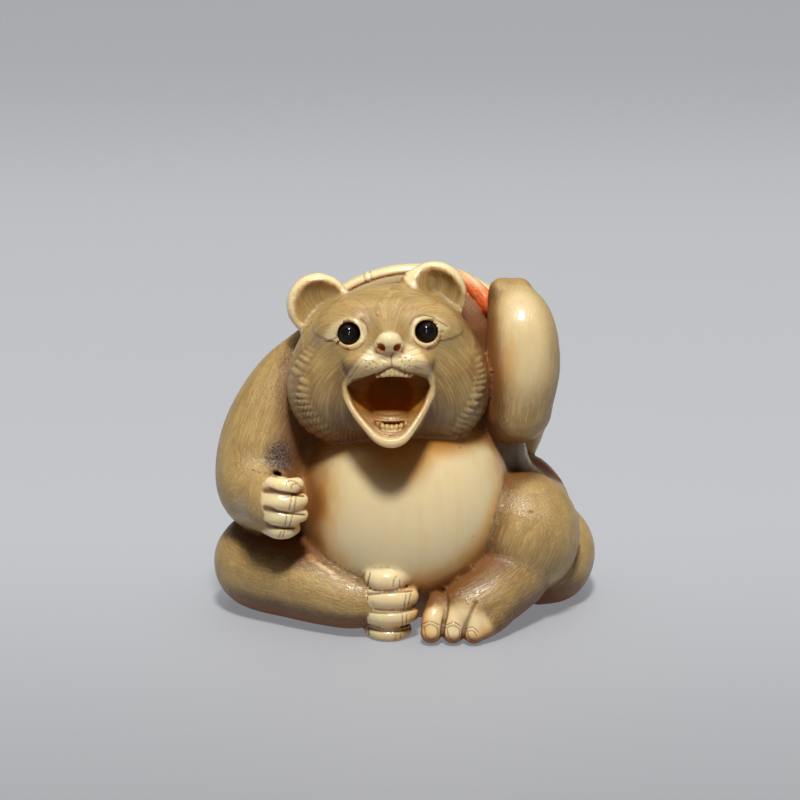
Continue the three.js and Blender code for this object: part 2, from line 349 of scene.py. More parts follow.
class Head:
    """The head, with its ears, eye sockets, nose and mouth."""

    # Each lid's line round its eye: x, z and the radius of the rim.
    RIGHT_LID = [
        (-5.3, 3.0, 0.1), (-4.75, 4.2, 0.16), (-3.85, 4.65, 0.19), (-2.95, 4.25, 0.18), (-2.55, 3.15, 0.12),
        (-2.95, 2.42, 0.14), (-3.85, 2.17, 0.15), (-4.7, 2.45, 0.14),
    ]
    LEFT_LID = [
        (5.0, 3.95, 0.1), (4.4, 4.65, 0.15), (3.4, 4.85, 0.19), (2.65, 4.35, 0.18), (2.42, 3.2, 0.13),
        (2.85, 2.6, 0.14), (3.75, 2.35, 0.15), (4.65, 2.8, 0.13),
    ]

    def __init__(self):
        self.skull = head_eggs([
            ((0, 0.5, 0.5), (9.2, 7.8, 7.9)),
            ((-4.85, -0.2, -1.9), (5.0, 5.4, 5.1)),
            ((4.85, -0.2, -1.9), (5.0, 5.4, 5.1)),
            ((0, -3.0, 0.3), (6.9, 4.7, 5.4)),
        ])
        self.brows = head_eggs([
            ((-3.7, -4.7, 4.1), (3.1, 2.7, 2.4)),
            ((3.6, -4.7, 4.2), (3.1, 2.7, 2.4)),
            ((-2.45, -5.5, 5.05), (1.5, 1.9, 1.15)),
            ((1.75, -5.5, 5.1), (1.5, 1.9, 1.15)),
        ])
        self.muzzle = [
            Egg((0.0, -6.2, 1.1), (4.3, 3.3, 3.0), head=True),
            Limb([(0.0, -6.0, 5.2, 1.3), (0.05, -8.0, 3.9, 1.1), (0.1, -9.4, 3.1, 0.95)], head=True),
        ]
        self.pads = head_eggs([
            ((-2.0, -7.85, 0.7), (2.3, 2.0, 1.3)),
            ((2.15, -7.85, 0.8), (2.2, 2.0, 1.25)),
        ])
        self.nose = head_eggs([
            ((0.1, -9.8, 2.7), (1.05, 0.95, 0.85)),
            ((-0.6, -9.7, 2.25), (0.6, 0.7, 0.52)),
            ((0.8, -9.7, 2.25), (0.6, 0.7, 0.52)),
        ])
        self.nostrils = head_eggs([
            ((-0.7, -10.25, 2.12), (0.4, 0.75, 0.33), (0, 0, -20)),
            ((0.92, -10.25, 2.1), (0.38, 0.75, 0.32), (0, 0, 20)),
        ])
        self.sockets = [
            Limb([(x, y, z, EYE_RADIUS + 0.04), (x, y - 2.5, z, EYE_RADIUS - 0.06)], head=True)
            for x, y, z in (RIGHT_EYE_AT, LEFT_EYE_AT)
        ]
        self.ears = [
            self.ear((-7.0, 1.0, 6.5), 3.15, -25, (-6.55, 6.1), (2.95, 2.75)),
            self.ear((4.6, 1.2, 7.7), 3.15, 25, (5.3, 7.5), (2.05, 3.15)),
        ]
        self.ear_root = Egg((2.4, 1.5, 8.1), (1.5, 1.5, 2.0), (0, 20, 0), head=True)
        self.mouth = Mouth()
        self.lids = [self.lid(line) for line in (self.RIGHT_LID, self.LEFT_LID)]

    def ear(self, at, radius, lean, hollow_at, hollow_half):
        disc = Egg(at, (radius, 1.7, radius), (0, lean, 0), head=True)
        middle = (hollow_at[0], at[1] - 1.5, hollow_at[1])
        hollow = Egg(middle, (hollow_half[0], 1.75, hollow_half[1]), (0, -1.6 * lean, 0), head=True)
        return disc, hollow

    def face(self, points):
        """The face before its eyes, mouth and ears."""
        whole = joined([*self.skull, *self.brows], points, 2.2)
        whole = added(whole, self.muzzle, points, 1.6)
        return added(whole, self.pads, points, 0.6)

    def lid(self, line):
        """A rim along this closed line, laid on the face. The line holds x, z and the rim's radius."""
        depth = np.arange(-11, -2, 0.05)
        stations = []
        for x, z, radius in [*line, line[0]]:
            column = np.stack([np.full(len(depth), x), depth, np.full(len(depth), z)], 1)
            outside = self.face(HEAD_AT + column @ HEAD_TURN.T) > 0
            stations.append((x, depth[outside].max() + 0.1, z, radius))
        return Limb(stations, head=True)

    def __call__(self, points):
        local = to_head(points)
        whole = added(self.face(points), self.lids, points, 0.3)
        whole = smooth_min(whole, joined(self.nose, points, 0.3), 0.45)
        near = whole < 2.5
        close = local[near]
        mouth = self.mouth
        whole[near] = smooth_max(smooth_min(whole[near], mouth.jaw(close), 0.7), -mouth.hollow(close), 0.3)
        for mass, width in (
            (mouth.upper_lip, 0.4), (mouth.rim, 0.25), (mouth.inside, 0.12), (mouth.teeth, 0.05),
        ):
            whole = smooth_min(whole, mass(points), width)
        for disc, hollow in self.ears:
            ear = smooth_max(disc(points), -hollow(points), 0.35)
            whole = smooth_min(whole, ear, 0.7)
        whole = smooth_min(whole, self.ear_root(points), 0.5)
        for cut in (*self.sockets, *self.nostrils):
            whole = smooth_max(whole, -cut(points), 0.12)
        return whole

    def grain(self, points):
        """Hair on the head runs outwards from the nose and bends down at the sides."""
        local = to_head(points) - (0.0, 0.5, 2.0)
        reach = length(local)
        angle = np.arccos(np.clip(-local[:, 1] / reach, -1, 1))
        bend = 0.45 * angle**2 * np.clip(2 * local[:, 0] / reach, -1, 1)
        around = np.arctan2(local[:, 2], local[:, 0]) + bend
        return np.stack([9 * angle, 6 * np.cos(around), 6 * np.sin(around)], 1)


class Hat:
    """A sedge hat: a shallow cone that hangs upright on the back, with its hollow towards the animal."""

    def __init__(self):
        edge = HAT_RADIUS - HAT_BAND
        half = HAT_RIM_HALF
        crown = [
            (edge * (1 - k), -half - 0.2 - HAT_DEPTH * k**0.85) for k in (0.22, 0.4, 0.6, 0.76)
        ]
        self.profile = [
            (-3.0, -0.4), (edge - 0.4, -0.4), (edge, half), (HAT_RADIUS - 0.3, half),
            (HAT_RADIUS, half - 0.3), (HAT_RADIUS, -half), (edge, -half - 0.2), *crown,
            (1.7, -HAT_DEPTH - half), (1.5, -HAT_DEPTH - half - 0.45), (1.0, -HAT_DEPTH - half - 0.6),
            (-3.0, -HAT_DEPTH - half - 0.6),
        ]

    def __call__(self, points):
        local = points - HAT_AT
        radius = np.sqrt(local[:, 0] ** 2 + local[:, 2] ** 2)
        out = np.maximum(radius - HAT_RADIUS, np.abs(local[:, 1]) - HAT_DEPTH - 1.5) + 0.01
        near = out < REACH
        out[near] = outline_distance(radius[near], -local[near, 1], self.profile) - 0.06
        return out

    def grain(self, points):
        """The sedge strips run out from the middle."""
        local = points - HAT_AT
        radius = np.sqrt(local[:, 0] ** 2 + local[:, 2] ** 2)
        around = np.arctan2(local[:, 2], local[:, 0])
        return np.stack([radius, 8 * np.cos(around), 8 * np.sin(around)], 1)


# Where each finger and toe of the two right paws starts and ends in x, from the top down.
RIGHT_FINGERS = [(-13.0, -10.5), (-13.5, -10.1), (-13.6, -10.1), (-13.2, -10.9)]
RIGHT_TOES = [(-3.0, -0.3), (-3.2, 0.6), (-3.2, 0.6), (-2.9, -0.1)]


def digits(reaches, middle, pitch, radius, bulge):
    """Four fingers or toes, one above another, bent round the paw, about this middle in y and z."""
    out = []
    for (start, end), k in zip(reaches, (1.5, 0.5, -0.5, -1.5)):
        y = middle[0] + (0.35 if abs(k) > 1 else 0)
        z = middle[1] + k * pitch
        half = (end - start) / 2
        out.append(Limb([
            (start, y + bulge, z, radius * 0.9), (start + half * 0.6, y, z, radius),
            (end - half * 0.6, y, z, radius), (end, y + bulge, z, radius * 0.85),
        ]))
    return out


def body_parts():
    """Each part's name, its masses, and how softly they flow together."""
    down_left = (-0.35, -0.15, -0.95)
    return {
        "belly": ([Egg((0, -1, 10.9), (10.8, 10.4, 12))], 1),
        "torso": ([
            Egg((-0.5, 2.5, 17.5), (10.5, 8.2, 8.5)),
            Egg((0, 3, 11), (12.5, 7.5, 12)),
            Egg((0, 5.6, 24.7), (8.8, 4.4, 7.1)),
            Egg((6.5, 5.8, 23.6), (5.4, 3.0, 7.0)),
            Egg((7, 3, 6), (11, 8, 8.5)),
            Egg((-7, 3, 6.5), (9, 7.4, 8)),
            Egg((8.8, 2.5, 16.0), (3.2, 3.6, 5.5)),
            Egg((11.3, 8.0, 6.5), (5.8, 5.0, 6.5)),
        ], 2),
        "right_arm": ([
            Limb([
                (-8.3, 3.5, 25.0, 3.4), (-10.8, 3.0, 20.8, 5.0), (-12.8, 1.5, 16.6, 5.55),
                (-13.9, -1.2, 13.3, 4.9), (-13.4, -4.6, 12.6, 3.6), (-12.9, -7.4, 12.9, 2.9),
            ]),
        ], 1),
        "right_paw": ([
            Egg((-12.2, -8.7, 13.2), (2.4, 1.9, 3.0)),
            *digits(RIGHT_FINGERS, (-9.9, 13.2), 1.52, 0.84, 0.7),
        ], 0.08),
        "wrist_hole": ([Limb([(-12.5, -6.5, 15.6, 0.42), (-12.5, -2.6, 14.6, 0.36)])], 0.1),
        "left_arm": ([
            Limb([(5.5, 5.0, 22.0, 4.4), (8.8, 2.8, 20.8, 4.1), (11.2, -0.4, 20.7, 3.4)]),
            Limb([
                (11.25, -0.9, 20.8, 3.5), (11.8, -0.5, 25.2, 3.8), (11.65, 0.8, 28.9, 3.35),
                (10.8, 3.4, 30.6, 2.3),
            ]),
            Egg((9.75, 3.3, 31.7), (1.2, 1.7, 1.3)),
            Egg((11.7, 3.4, 31.7), (1.1, 1.7, 1.2)),
        ], 0.6),
        "right_leg": ([
            Limb([
                (-7.0, 3.5, 6.0, 5.8), (-14.4, -1.0, 4.7, 4.7), (-10.2, -5.0, 4.2, 4.15),
                (-5.8, -8.2, 3.4, 3.1), (-3.8, -9.0, 3.3, 2.6),
            ]),
        ], 1),
        "right_foot": (digits(RIGHT_TOES, (-11.2, 3.45), 1.82, 1.08, 0.7), 0.08),
        "left_leg": ([Egg((11.9, -2.2, 8.0), (5.8, 6.2, 6.3), flow=down_left)], 1),
        "left_foot": ([
            Limb([(10.8, -5.2, 4.8, 3.8), (8.8, -8.0, 3.6, 3.3), (6.4, -9.8, 2.6, 2.9)]),
            *[
                Limb([(x + 0.8, -10.1, 3.3, 1.2), (x + 0.25, -11.5, 2.5, 1.12), (x, -12.25, 1.15, radius)])
                for x, radius in ((2.72, 1.05), (4.9, 1.08), (6.95, 1.1))
            ],
            Limb([(9.0, -9.3, 2.6, 2.2), (8.3, -10.6, 2.0, 1.75), (7.7, -11.6, 1.4, 1.2)]),
        ], 0.25),
        "tail": ([
            Limb([
                (-1.0, 10.0, 3.4, 2.6), (7.5, 10.6, 4.4, 4.0), (14.0, 5.0, 4.6, 4.7),
                (15.2, 0.4, 3.75, 3.75), (13.7, -1.2, 2.4, 2.3),
            ]),
        ], 1),
        "cord": ([
            Limb([
                (4.5, 9.0, 31.9, 0.6), (6.0, 7.4, 31.7, 0.85), (7.5, 5.6, 30.9, 0.95), (8.8, 4.2, 29.7, 0.9),
            ]),
        ], 1),
    }


class Figure:
    """The whole carving as one distance."""

    # How softly each part flows into what comes before it.
    BLENDS = {
        "belly": 0, "torso": 1.0, "right_arm": 0.8, "right_paw": 0.5, "left_arm": 0.5, "right_leg": 0.35,
        "right_foot": 0.4, "left_leg": 0.3, "left_foot": 0.4, "tail": 0.25, "hat": 0.2, "cord": 0.2,
        "head": 0.3,
    }
    CHANNEL = [(-5.2, 3.5, -2), (-4.4, 3.5, 3.2), (0, 3.5, 5.6), (4.4, 3.5, 3.2), (5.2, 3.5, -2)]
    CHANNEL_RADIUS = 1.7

    def __init__(self):
        self.masses = body_parts()
        self.hat = Hat()
        self.head = Head()
        self.wrist_hole = self.masses.pop("wrist_hole")[0][0]
        self.names = list(self.BLENDS)
        self.channel = Limb([(*at, self.CHANNEL_RADIUS) for at in self.CHANNEL])

    def part(self, name, points):
        if name == "hat":
            return self.hat(points)
        if name == "head":
            return self.head(points)
        masses, width = self.masses[name]
        return joined(masses, points, width)

    def __call__(self, points):
        whole = self.part("belly", points)
        for name in self.names[1:]:
            whole = smooth_min(whole, self.part(name, points), self.BLENDS[name])
        whole = smooth_max(whole, -self.wrist_hole(points), 0.2)
        whole = smooth_max(whole, -self.channel(points), 0.3)
        return smooth_max(whole, -points[:, 2], 0.25)

    def gaps(self, points):
        """The distance to each part, one row for each name."""
        return np.array([self.part(name, points) for name in self.names])

    def places(self, owner):
        """For each name, which points lie on that part."""
        return {name: owner == number for number, name in enumerate(self.names)}

    def grain(self, points, on):
        """Three numbers for each point, the first of them along the hair."""
        out = np.zeros((len(points), 3))
        for name, here in on.items():
            if not here.any():
                continue
            own = points[here]
            if name in ("hat", "head"):
                out[here] = (self.hat if name == "hat" else self.head).grain(own)
                continue
            masses = self.masses[name][0]
            nearest = np.argmin([mass(own) for mass in masses], axis=0)
            value = np.zeros((len(own), 3))
            for k in np.unique(nearest):
                value[nearest == k] = masses[k].grain(own[nearest == k])
            out[here] = value
        return out

    def gradient(self, points, reach=0.02):
        out = np.zeros((len(points), 3))
        for corner in ((1, -1, -1), (-1, -1, 1), (-1, 1, -1), (1, 1, 1)):
            corner = np.array(corner, float)
            out += corner * self(points + corner * reach)[:, None]
        return out / (4 * reach)


# The carving's surface

def on_surface(figure, points, furthest=0.15, rounds=2):
    """The points moved along the slope onto the surface, this far at most in a round."""
    for _ in range(rounds):
        slope = figure.gradient(points)
        steep = np.maximum((slope**2).sum(1), 0.25)
        move = np.clip(figure(points) / steep, -furthest, furthest)
        points = points - slope * move[:, None]
    return points


def first_surface(figure):
    """Triangles from a grid that is only worked out finely near the surface."""
    block = 4
    cells = np.ceil((GRID_HIGH - GRID_LOW) / (GRID * block)).astype(int)
    index = np.stack(np.meshgrid(*[np.arange(n) for n in cells], indexing="ij"), -1).reshape(-1, 3)
    coarse = figure(GRID_LOW + (index + 0.5) * GRID * block)
    grid = np.repeat(np.repeat(np.repeat(coarse.reshape(cells), block, 0), block, 1), block, 2)
    grid = np.clip(grid, -FAR, FAR).astype(np.float32)
    near = index[np.abs(coarse) < GRID * block * 1.6]
    inner = np.stack(np.meshgrid(*[np.arange(block)] * 3, indexing="ij"), -1).reshape(-1, 3)
    at = (near[:, None, :] * block + inner[None]).reshape(-1, 3)
    grid[at[:, 0], at[:, 1], at[:, 2]] = figure(GRID_LOW + at * GRID)
    volume = openvdb.FloatGrid(FAR)
    volume.copyFromArray(grid)
    points, quads = volume.convertToQuads(isovalue=0.0)
    faces = np.concatenate([quads[:, [0, 1, 2]], quads[:, [0, 2, 3]]])
    return GRID_LOW + points.astype(float) * GRID, faces.astype(np.int64)


def split_long_edges(figure, points, faces, wanted, rounds):
    """Splits each edge that is longer than wanted says, and moves the new points onto the surface."""
    for _ in range(rounds):
        edges = np.sort(faces[:, [[0, 1], [1, 2], [2, 0]]], axis=2)
        keys, inverse = np.unique(edges[..., 0] * len(points) + edges[..., 1], return_inverse=True)
        start, end = keys // len(points), keys % len(points)
        middle = (points[start] + points[end]) / 2
        long = length(points[start] - points[end]) > wanted(middle, start, end)
        number = np.full(len(keys), -1)
        number[long] = len(points) + np.arange(long.sum())
        points = np.vstack([points, on_surface(figure, middle[long])])
        halves = number[inverse.reshape(-1)].reshape(-1, 3)
        count = (halves >= 0).sum(1)
        made = [faces[count == 0]]
        for split in (1, 2, 3):
            f, m = faces[count == split], halves[count == split]
            if split < 3:
                # Turned so that the one edge that differs from the others comes first.
                odd = np.argmax(m >= 0, axis=1) if split == 1 else np.argmin(m, axis=1)
                order = (odd[:, None] + np.arange(3)) % 3
                f, m = np.take_along_axis(f, order, 1), np.take_along_axis(m, order, 1)
            a, b, c = f.T
            ab, bc, ca = m.T
            pieces = {
                1: [(a, ab, c), (ab, b, c)],
                2: [(a, b, bc), (a, bc, ca), (bc, c, ca)],
                3: [(a, ab, ca), (ab, b, bc), (bc, c, ca), (ab, bc, ca)],
            }[split]
            made += [np.stack(piece, 1) for piece in pieces]
        faces = np.concatenate(made)
    return points, faces


def point_normals(points, faces):
    corner = points[faces]
    face = np.cross(corner[:, 1] - corner[:, 0], corner[:, 2] - corner[:, 0])
    out = np.zeros_like(points)
    for k in range(3):
        for axis in range(3):
            out[:, axis] += np.bincount(faces[:, k], face[:, axis], len(points))
    return out / np.maximum(length(out), 1e-12)[:, None]


def eased(points, faces, share):
    """Each point moved by its own share towards the middle of its neighbours."""
    total, count = np.zeros_like(points), np.zeros(len(points))
    for a, b in ((0, 1), (1, 2), (2, 0), (1, 0), (2, 1), (0, 2)):
        count += np.bincount(faces[:, a], minlength=len(points))
        for axis in range(3):
            total[:, axis] += np.bincount(faces[:, a], points[faces[:, b], axis], len(points))
    return points + (total / count[:, None] - points) * share[:, None]


def mesh_object(name, points, faces):
    mesh = bpy.data.meshes.new(name)
    mesh.from_pydata((points * MM).tolist(), [], faces.tolist())
    mesh.update()
    mesh.shade_smooth()
    made = bpy.data.objects.new(name, mesh)
    bpy.context.collection.objects.link(made)
    return made


# The front view, in pixels of the picture: a pixel is 0.1 mm at the carving

VIEW_TILT = math.radians(18.0)
VIEW_AT = np.array([-0.35, 0, 21.35])
VIEW_UP = np.array([0, math.sin(VIEW_TILT), math.cos(VIEW_TILT)])
VIEW_IN = np.array([0, math.cos(VIEW_TILT), -math.sin(VIEW_TILT)])
VIEW_DISTANCE = 450.0
# A point faces the view where its normal's share along VIEW_IN is below this.
FACING = -0.08
PIXELS = 10.0
MIDDLE = 400.0


def picture(points):
    """Where the points are in the front view."""
    local = points - VIEW_AT
    scale = PIXELS * VIEW_DISTANCE / (VIEW_DISTANCE + local @ VIEW_IN)
    return MIDDLE + local[:, 0] * scale, MIDDLE - (local @ VIEW_UP) * scale


# Engraved lines. A third number at a point is the line's own half width there.
FACE_LINES = [
    [(323.5, 341), (328.7, 341.2), (334.5, 338.7), (338, 336.5)],
    [(336.7, 335), (338.9, 343.9), (344.8, 348.6), (352.1, 350.2), (359.5, 347.2), (364.5, 341)],
    [(361, 319.5), (366, 325), (368, 332)],
    [(410.1, 325), (414.5, 318.4), (422.6, 315.3), (431.4, 316.7), (438.7, 321.2), (447.5, 326.3)],
    [(436.5, 332.9), (443.5, 331.4)],
    [(440.9, 336), (438.7, 343.9), (432.8, 349), (425.5, 349), (416.7, 344), (413, 338)],
    [(393.2, 352.7), (391, 357.1), (392.2, 367.4)],
]
WHISKERS = [
    [(364, 357.5), (352.1, 374.7)], [(368.5, 348), (378.5, 354)], [(363.5, 352), (376, 356.5)],
    [(371.5, 360), (379.5, 366.5)], [(380.5, 357), (388, 362)], [(358, 366), (349.5, 378)],
    [(407.9, 351.2), (418.2, 347.6)], [(411.3, 355.6), (422.6, 352.7)], [(415.5, 361), (426, 362.5)],
    [(414.5, 366.5), (423, 369.5)],
]
WHISKER_DOTS = [
    (365.5, 361), (369.5, 364), (373.5, 361.5), (366.5, 367), (376, 367.5), (383.5, 365.5), (372, 369),
    (400, 357), (401.5, 362), (405.5, 358), (405, 365.5), (409.5, 361), (411.5, 359), (409.5, 366.5),
    (399, 368), (405, 370),
]
FIST_LINES = [
    [(286.3, 485.5), (289.5, 480.5), (295.9, 482.1), (301.5, 487.7)],
    [(291.1, 489), (292.5, 484.5), (297, 483.5)],
    [(291.9, 495.7), (289, 510)], [(296.2, 495.7), (294.3, 511.6)], [(287.1, 514.8), (284.7, 526)],
    [(292.7, 514.8), (289.5, 526.8)], [(281.2, 531), (278.7, 537.5)], [(284.8, 531), (282.3, 537.5)],
]
WRIST_LINES = [
    [(251.2, 470.2), (261, 472.5)], [(265.6, 472.5), (264, 475.5)], [(270.4, 471.8), (269.6, 475.5)],
]
RIGHT_FOOT_LINES = [
    [(393.1, 586.5), (393.9, 580.2), (396.3, 576.2)], [(399.8, 587), (399.8, 580)],
    [(404.3, 607.3), (406.2, 594.5)], [(408.3, 605.7), (410.7, 593.7)], [(402.4, 628), (402.7, 614.4)],
    [(406.2, 627.2), (406.7, 614.4)], [(394.7, 642), (396.3, 634.4)], [(400.3, 640), (401.1, 633.6)],
]
LEFT_FOOT_LINES = [
    [(422.7, 624), (429.9, 621.3), (438.6, 624.5)], [(423.2, 627.2), (430.7, 624.5), (437.8, 628)],
    [(424.3, 627.2), (425.9, 636), (431.5, 640), (437, 636), (437.8, 629)],
    [(446.6, 624.8), (453.8, 622.4), (461, 626.4)], [(445.8, 628), (453.8, 625.6), (460.2, 629.6)],
    [(447, 629.6), (449, 637.5), (453.8, 641.5), (458.5, 638.5), (460.2, 631)],
    [(467.3, 628), (472.9, 627.5), (479, 632.5)], [(466.5, 631), (472.9, 631), (477.5, 636.5)],
    [(467.3, 632), (470, 639), (476, 641)],
]


# The curves on which the long lines under the cheek start and end.
RUFF_STARTS = [(299, 396), (311, 408), (325, 418), (341, 427), (358, 433)]
RUFF_ENDS = [(303, 417), (313, 429), (328, 438), (345, 444), (362, 447)]


def ruff_lines():
    """Long hooked lines between the curls under the cheek."""
    lines = []
    for k, ((ax, ay), (bx, by)) in enumerate(zip(spline(RUFF_STARTS, 4), spline(RUFF_ENDS, 4))):
        sway = 1.2 * math.sin(2.1 * k)
        bend = (ax + (bx - ax) * 0.3 - 2.2, (ay + by) / 2 + sway, 0.7)
        lines.append([(ax, ay, 0.3), bend, (bx - 1, by - 2.5, 0.8), (bx + 2.5, by - 0.5, 0.4)])
    return lines


RUFF_LINES = ruff_lines()
TONGUE_LINES = [
    [(376, 413.5), (391, 415), (407, 413)], [(375, 417.5), (391, 419), (408, 417)],
]
LIP_LINES = [
    [(352, 380.5), (364.2, 377.6), (376.8, 374.4), (384.5, 370.4), (391.5, 367.6), (398, 369.2), (404, 372)],
    [(404, 372), (413, 373.6), (421, 374.8), (427.5, 376.2)],
    [(376, 424), (381, 430.5), (391, 433), (401, 431.5), (408, 425)],
]
CORD_LINES = [
    [(447, 266), (456, 270.5), (464, 277), (471, 285), (477, 294), (481, 303)],
    [(446, 270), (454, 275), (461, 282), (467.5, 291), (472.5, 300)],
    [(452, 266), (461, 271.5), (469.5, 279), (477, 289), (483, 299)],
]
FIST_GROOVES = [
    [(264.5, 490.2, 2.4), (272, 491.2, 2.1), (280, 492.6, 1.3), (292, 494, 0.8), (303.9, 495.9, 0.8)],
    [(264.5, 508.4, 2.2), (272, 510.3, 1.8), (279, 512, 1.0), (292, 513.4, 0.8), (304.7, 514.8, 0.8)],
    [(260, 522.8, 2.2), (267, 525.5, 1.9), (273, 527, 1.0), (284, 528.2, 0.8), (294.3, 528.2, 0.8)],
]
RIGHT_FOOT_GROOVES = [
    [(367.5, 593.9, 1.6), (374, 593.6, 1.0), (390, 592.4, 0.7), (412.3, 590.6, 0.7)],
    [(366.9, 611.3, 1.1), (380.4, 613, 0.8), (396.4, 612.9, 0.7), (418.7, 608.1, 0.7)],
    [(365, 626, 1.6), (374, 629.7, 1.2), (388.4, 632, 0.9), (404.4, 629.9, 0.8), (417, 625.3, 0.8)],
    [(369.5, 573, 0.5), (367.6, 583, 0.6), (366.9, 600, 0.6), (366.4, 618, 0.6), (368.5, 635, 0.6)],
]
LEFT_FOOT_GROOVES = [
    [(446.5, 597, 1.0), (447.5, 606, 1.2), (446.2, 615, 1.3), (443.4, 626, 1.2), (442.4, 638, 1.2)],
    [(476.5, 603, 1.2), (471.5, 612, 1.4), (467, 622, 1.5), (464, 632, 1.3), (462.6, 640, 1.2)],
]
# Small pricks in the ivory: x, y and radius.
PRICKS = [
    (530.5, 512.4, 1.5), (316.8, 540, 0.8), (346, 564.3, 0.9), (327.5, 563.5, 0.6), (331.7, 464.9, 0.7),
    (460, 447, 0.9), (466.5, 575, 0.6), (496, 536, 0.6), (503, 501.5, 0.6), (472.8, 535.6, 0.5),
]
# Thin edges that stand up, the flank's and the right leg's, painted pale along them as a highlight.
HIGHLIT_EDGES = [
    [(524.8, 443.5), (525.9, 454), (531, 463.5), (538, 469), (547, 474.5), (556, 479.5), (563, 484)],
    [(303.5, 549.5), (312, 558.5), (321, 566.5), (332, 573)],
]

# Places in the front view that the stain, the polish, and the painted shade and highlight follow.
# The bare skin round the muzzle and the eyes.
MUZZLE_PATCH = [
    (343, 384), (350, 371), (360, 359), (372.7, 345.4), (375.6, 340), (383, 333.5), (389.5, 331.5),
    (397, 334), (406, 343), (419, 349), (427, 361), (434, 377), (434, 396), (427, 412), (418, 431),
    (407, 444), (394, 450), (380, 445), (368, 434), (356, 419), (346, 402),
]
EYE_PATCHES = [
    [(322.5, 339), (328, 330), (336, 322.5), (346, 318), (357, 318.5), (364.5, 325), (365.5, 334), (362, 341),
     (357, 345.5), (350, 347.5), (343, 345.5), (338, 341.5), (332, 340.5)],
    [(412, 338), (411.5, 327), (416, 319), (428, 315.5), (440, 318.5), (449, 326), (446, 331), (439, 334),
     (437, 341), (432, 345), (425.5, 346.5), (418, 344)],
]
# The stippled hollow above the right fist: its middle and its reach.
PIT = (279.5, 457.0)
PIT_REACH = 22.0
# The shadowed wedge between the hat and the left thigh, painted dark as shade.
DARK_WEDGE = [
    (533, 457), (545, 464), (554, 472.5), (560, 479), (565, 485), (556, 480.5), (546, 475), (531, 464),
]
# The bright side of the raised forearm, paler partly as worn stain and partly as a painted highlight: its
# middle and half size.
WORN_AND_HIGHLIGHT_AT = (522, 345)
WORN_AND_HIGHLIGHT_HALF = (38, 72)
# Where the hair ends: on the fist, on the right foot, and between the left foot's toes and its ankle.
FIST_HAIR_X = (258.5, 262.5)
RIGHT_FOOT_HAIR_X = (363, 368)
LEFT_FOOT_HAIR_Y = (598, 615)
# The fist's middle, the left toes' middle, and where the foot's outer side begins.
FIST_Y = 505
TOES_X = 462
OUTER_SIDE_X = 484
# The chin's lowest point, in millimetres, from which the chin's painted shadow on the belly is measured.
CHIN_AT = np.array([-1.15, -13.0, 21.2])

# For each part: half width in pixels, strength of the stain from 0 to 1, depth in millimetres, and the lines.
STROKES = {
    "head": [
        (0.5, 0.75, 0.05, FACE_LINES), (0.35, 0.5, 0.03, WHISKERS), (0.6, 0.45, 0.06, TONGUE_LINES),
        (0.6, 0.6, 0.07, LIP_LINES), (0.8, 0.45, 0.09, RUFF_LINES),
    ],
    "cord": [(0.5, 0.35, 0.12, CORD_LINES)],
    "right_paw": [(0.4, 0.8, 0.045, FIST_LINES), (1.0, 1.0, 0.14, FIST_GROOVES)],
    "right_arm": [(0.4, 0.8, 0.045, WRIST_LINES)],
    "right_foot": [(0.4, 0.8, 0.045, RIGHT_FOOT_LINES), (1.0, 0.8, 0.12, RIGHT_FOOT_GROOVES)],
    "left_foot": [(0.4, 0.8, 0.045, LEFT_FOOT_LINES), (1.0, 0.6, 0.14, LEFT_FOOT_GROOVES)],
}


def thickness_at(x, y, line):
    """The line's half width at the station nearest to each point."""
    gap = np.hypot(x[:, None] - line[None, :, 0], y[:, None] - line[None, :, 1])
    return line[np.argmin(gap, axis=1), 2]


def strokes(points, facing, on):
    """For each point: the stain from 0 to 1, the depth in millimetres, and the pixels to the nearest line."""
    x, y = picture(points)
    stain, depth = np.zeros((2, len(points)))
    away = np.full(len(points), 99.0)
    for name, groups in STROKES.items():
        here = np.flatnonzero(on[name] & facing)
        for half, strength, deep, lines in groups:
            for line in [spline(line, 5) for line in lines]:
                low, high = line[:, :2].min(0) - 6, line[:, :2].max(0) + 6
                near = (x[here] > low[0]) & (x[here] < high[0]) & (y[here] > low[1]) & (y[here] < high[1])
                at = here[near]
                if not len(at):
                    continue
                d = line_distance(x[at], y[at], line[:, :2])
                width = thickness_at(x[at], y[at], line) if line.shape[1] == 3 else half
                profile = 1 - step(width * 0.4, width * 2.2, d)
                away[at] = np.minimum(away[at], d - width)
                stain[at] = np.maximum(stain[at], strength * profile)
                depth[at] = np.maximum(depth[at], deep * profile)
    dots = [(*dot, 0.75) for dot in WHISKER_DOTS] + PRICKS
    front = np.flatnonzero(facing)
    for dot_x, dot_y, radius in dots:
        at = front[(np.abs(x[front] - dot_x) < 5) & (np.abs(y[front] - dot_y) < 5)]
        d = np.hypot(x[at] - dot_x, y[at] - dot_y)
        away[at] = np.minimum(away[at], d)
        profile = 1 - step(radius * 0.5, radius * 1.6, d)
        stain[at] = np.maximum(stain[at], 0.75 * profile)
        depth[at] = np.maximum(depth[at], 0.09 * radius * profile)
    return stain, depth, away


def highlit_edges(points, facing):
    """How much each point is on one of the edges painted pale as a highlight, from 0 to 1."""
    x, y = picture(points)
    out = np.zeros(len(points))
    for line in HIGHLIT_EDGES:
        line = spline(line, 5)
        low, high = line.min(0) - 4, line.max(0) + 4
        at = np.flatnonzero(facing & (x > low[0]) & (x < high[0]) & (y > low[1]) & (y < high[1]))
        out[at] = np.maximum(out[at], 1 - step(0.4, 1.8, line_distance(x[at], y[at], line)))
    return out


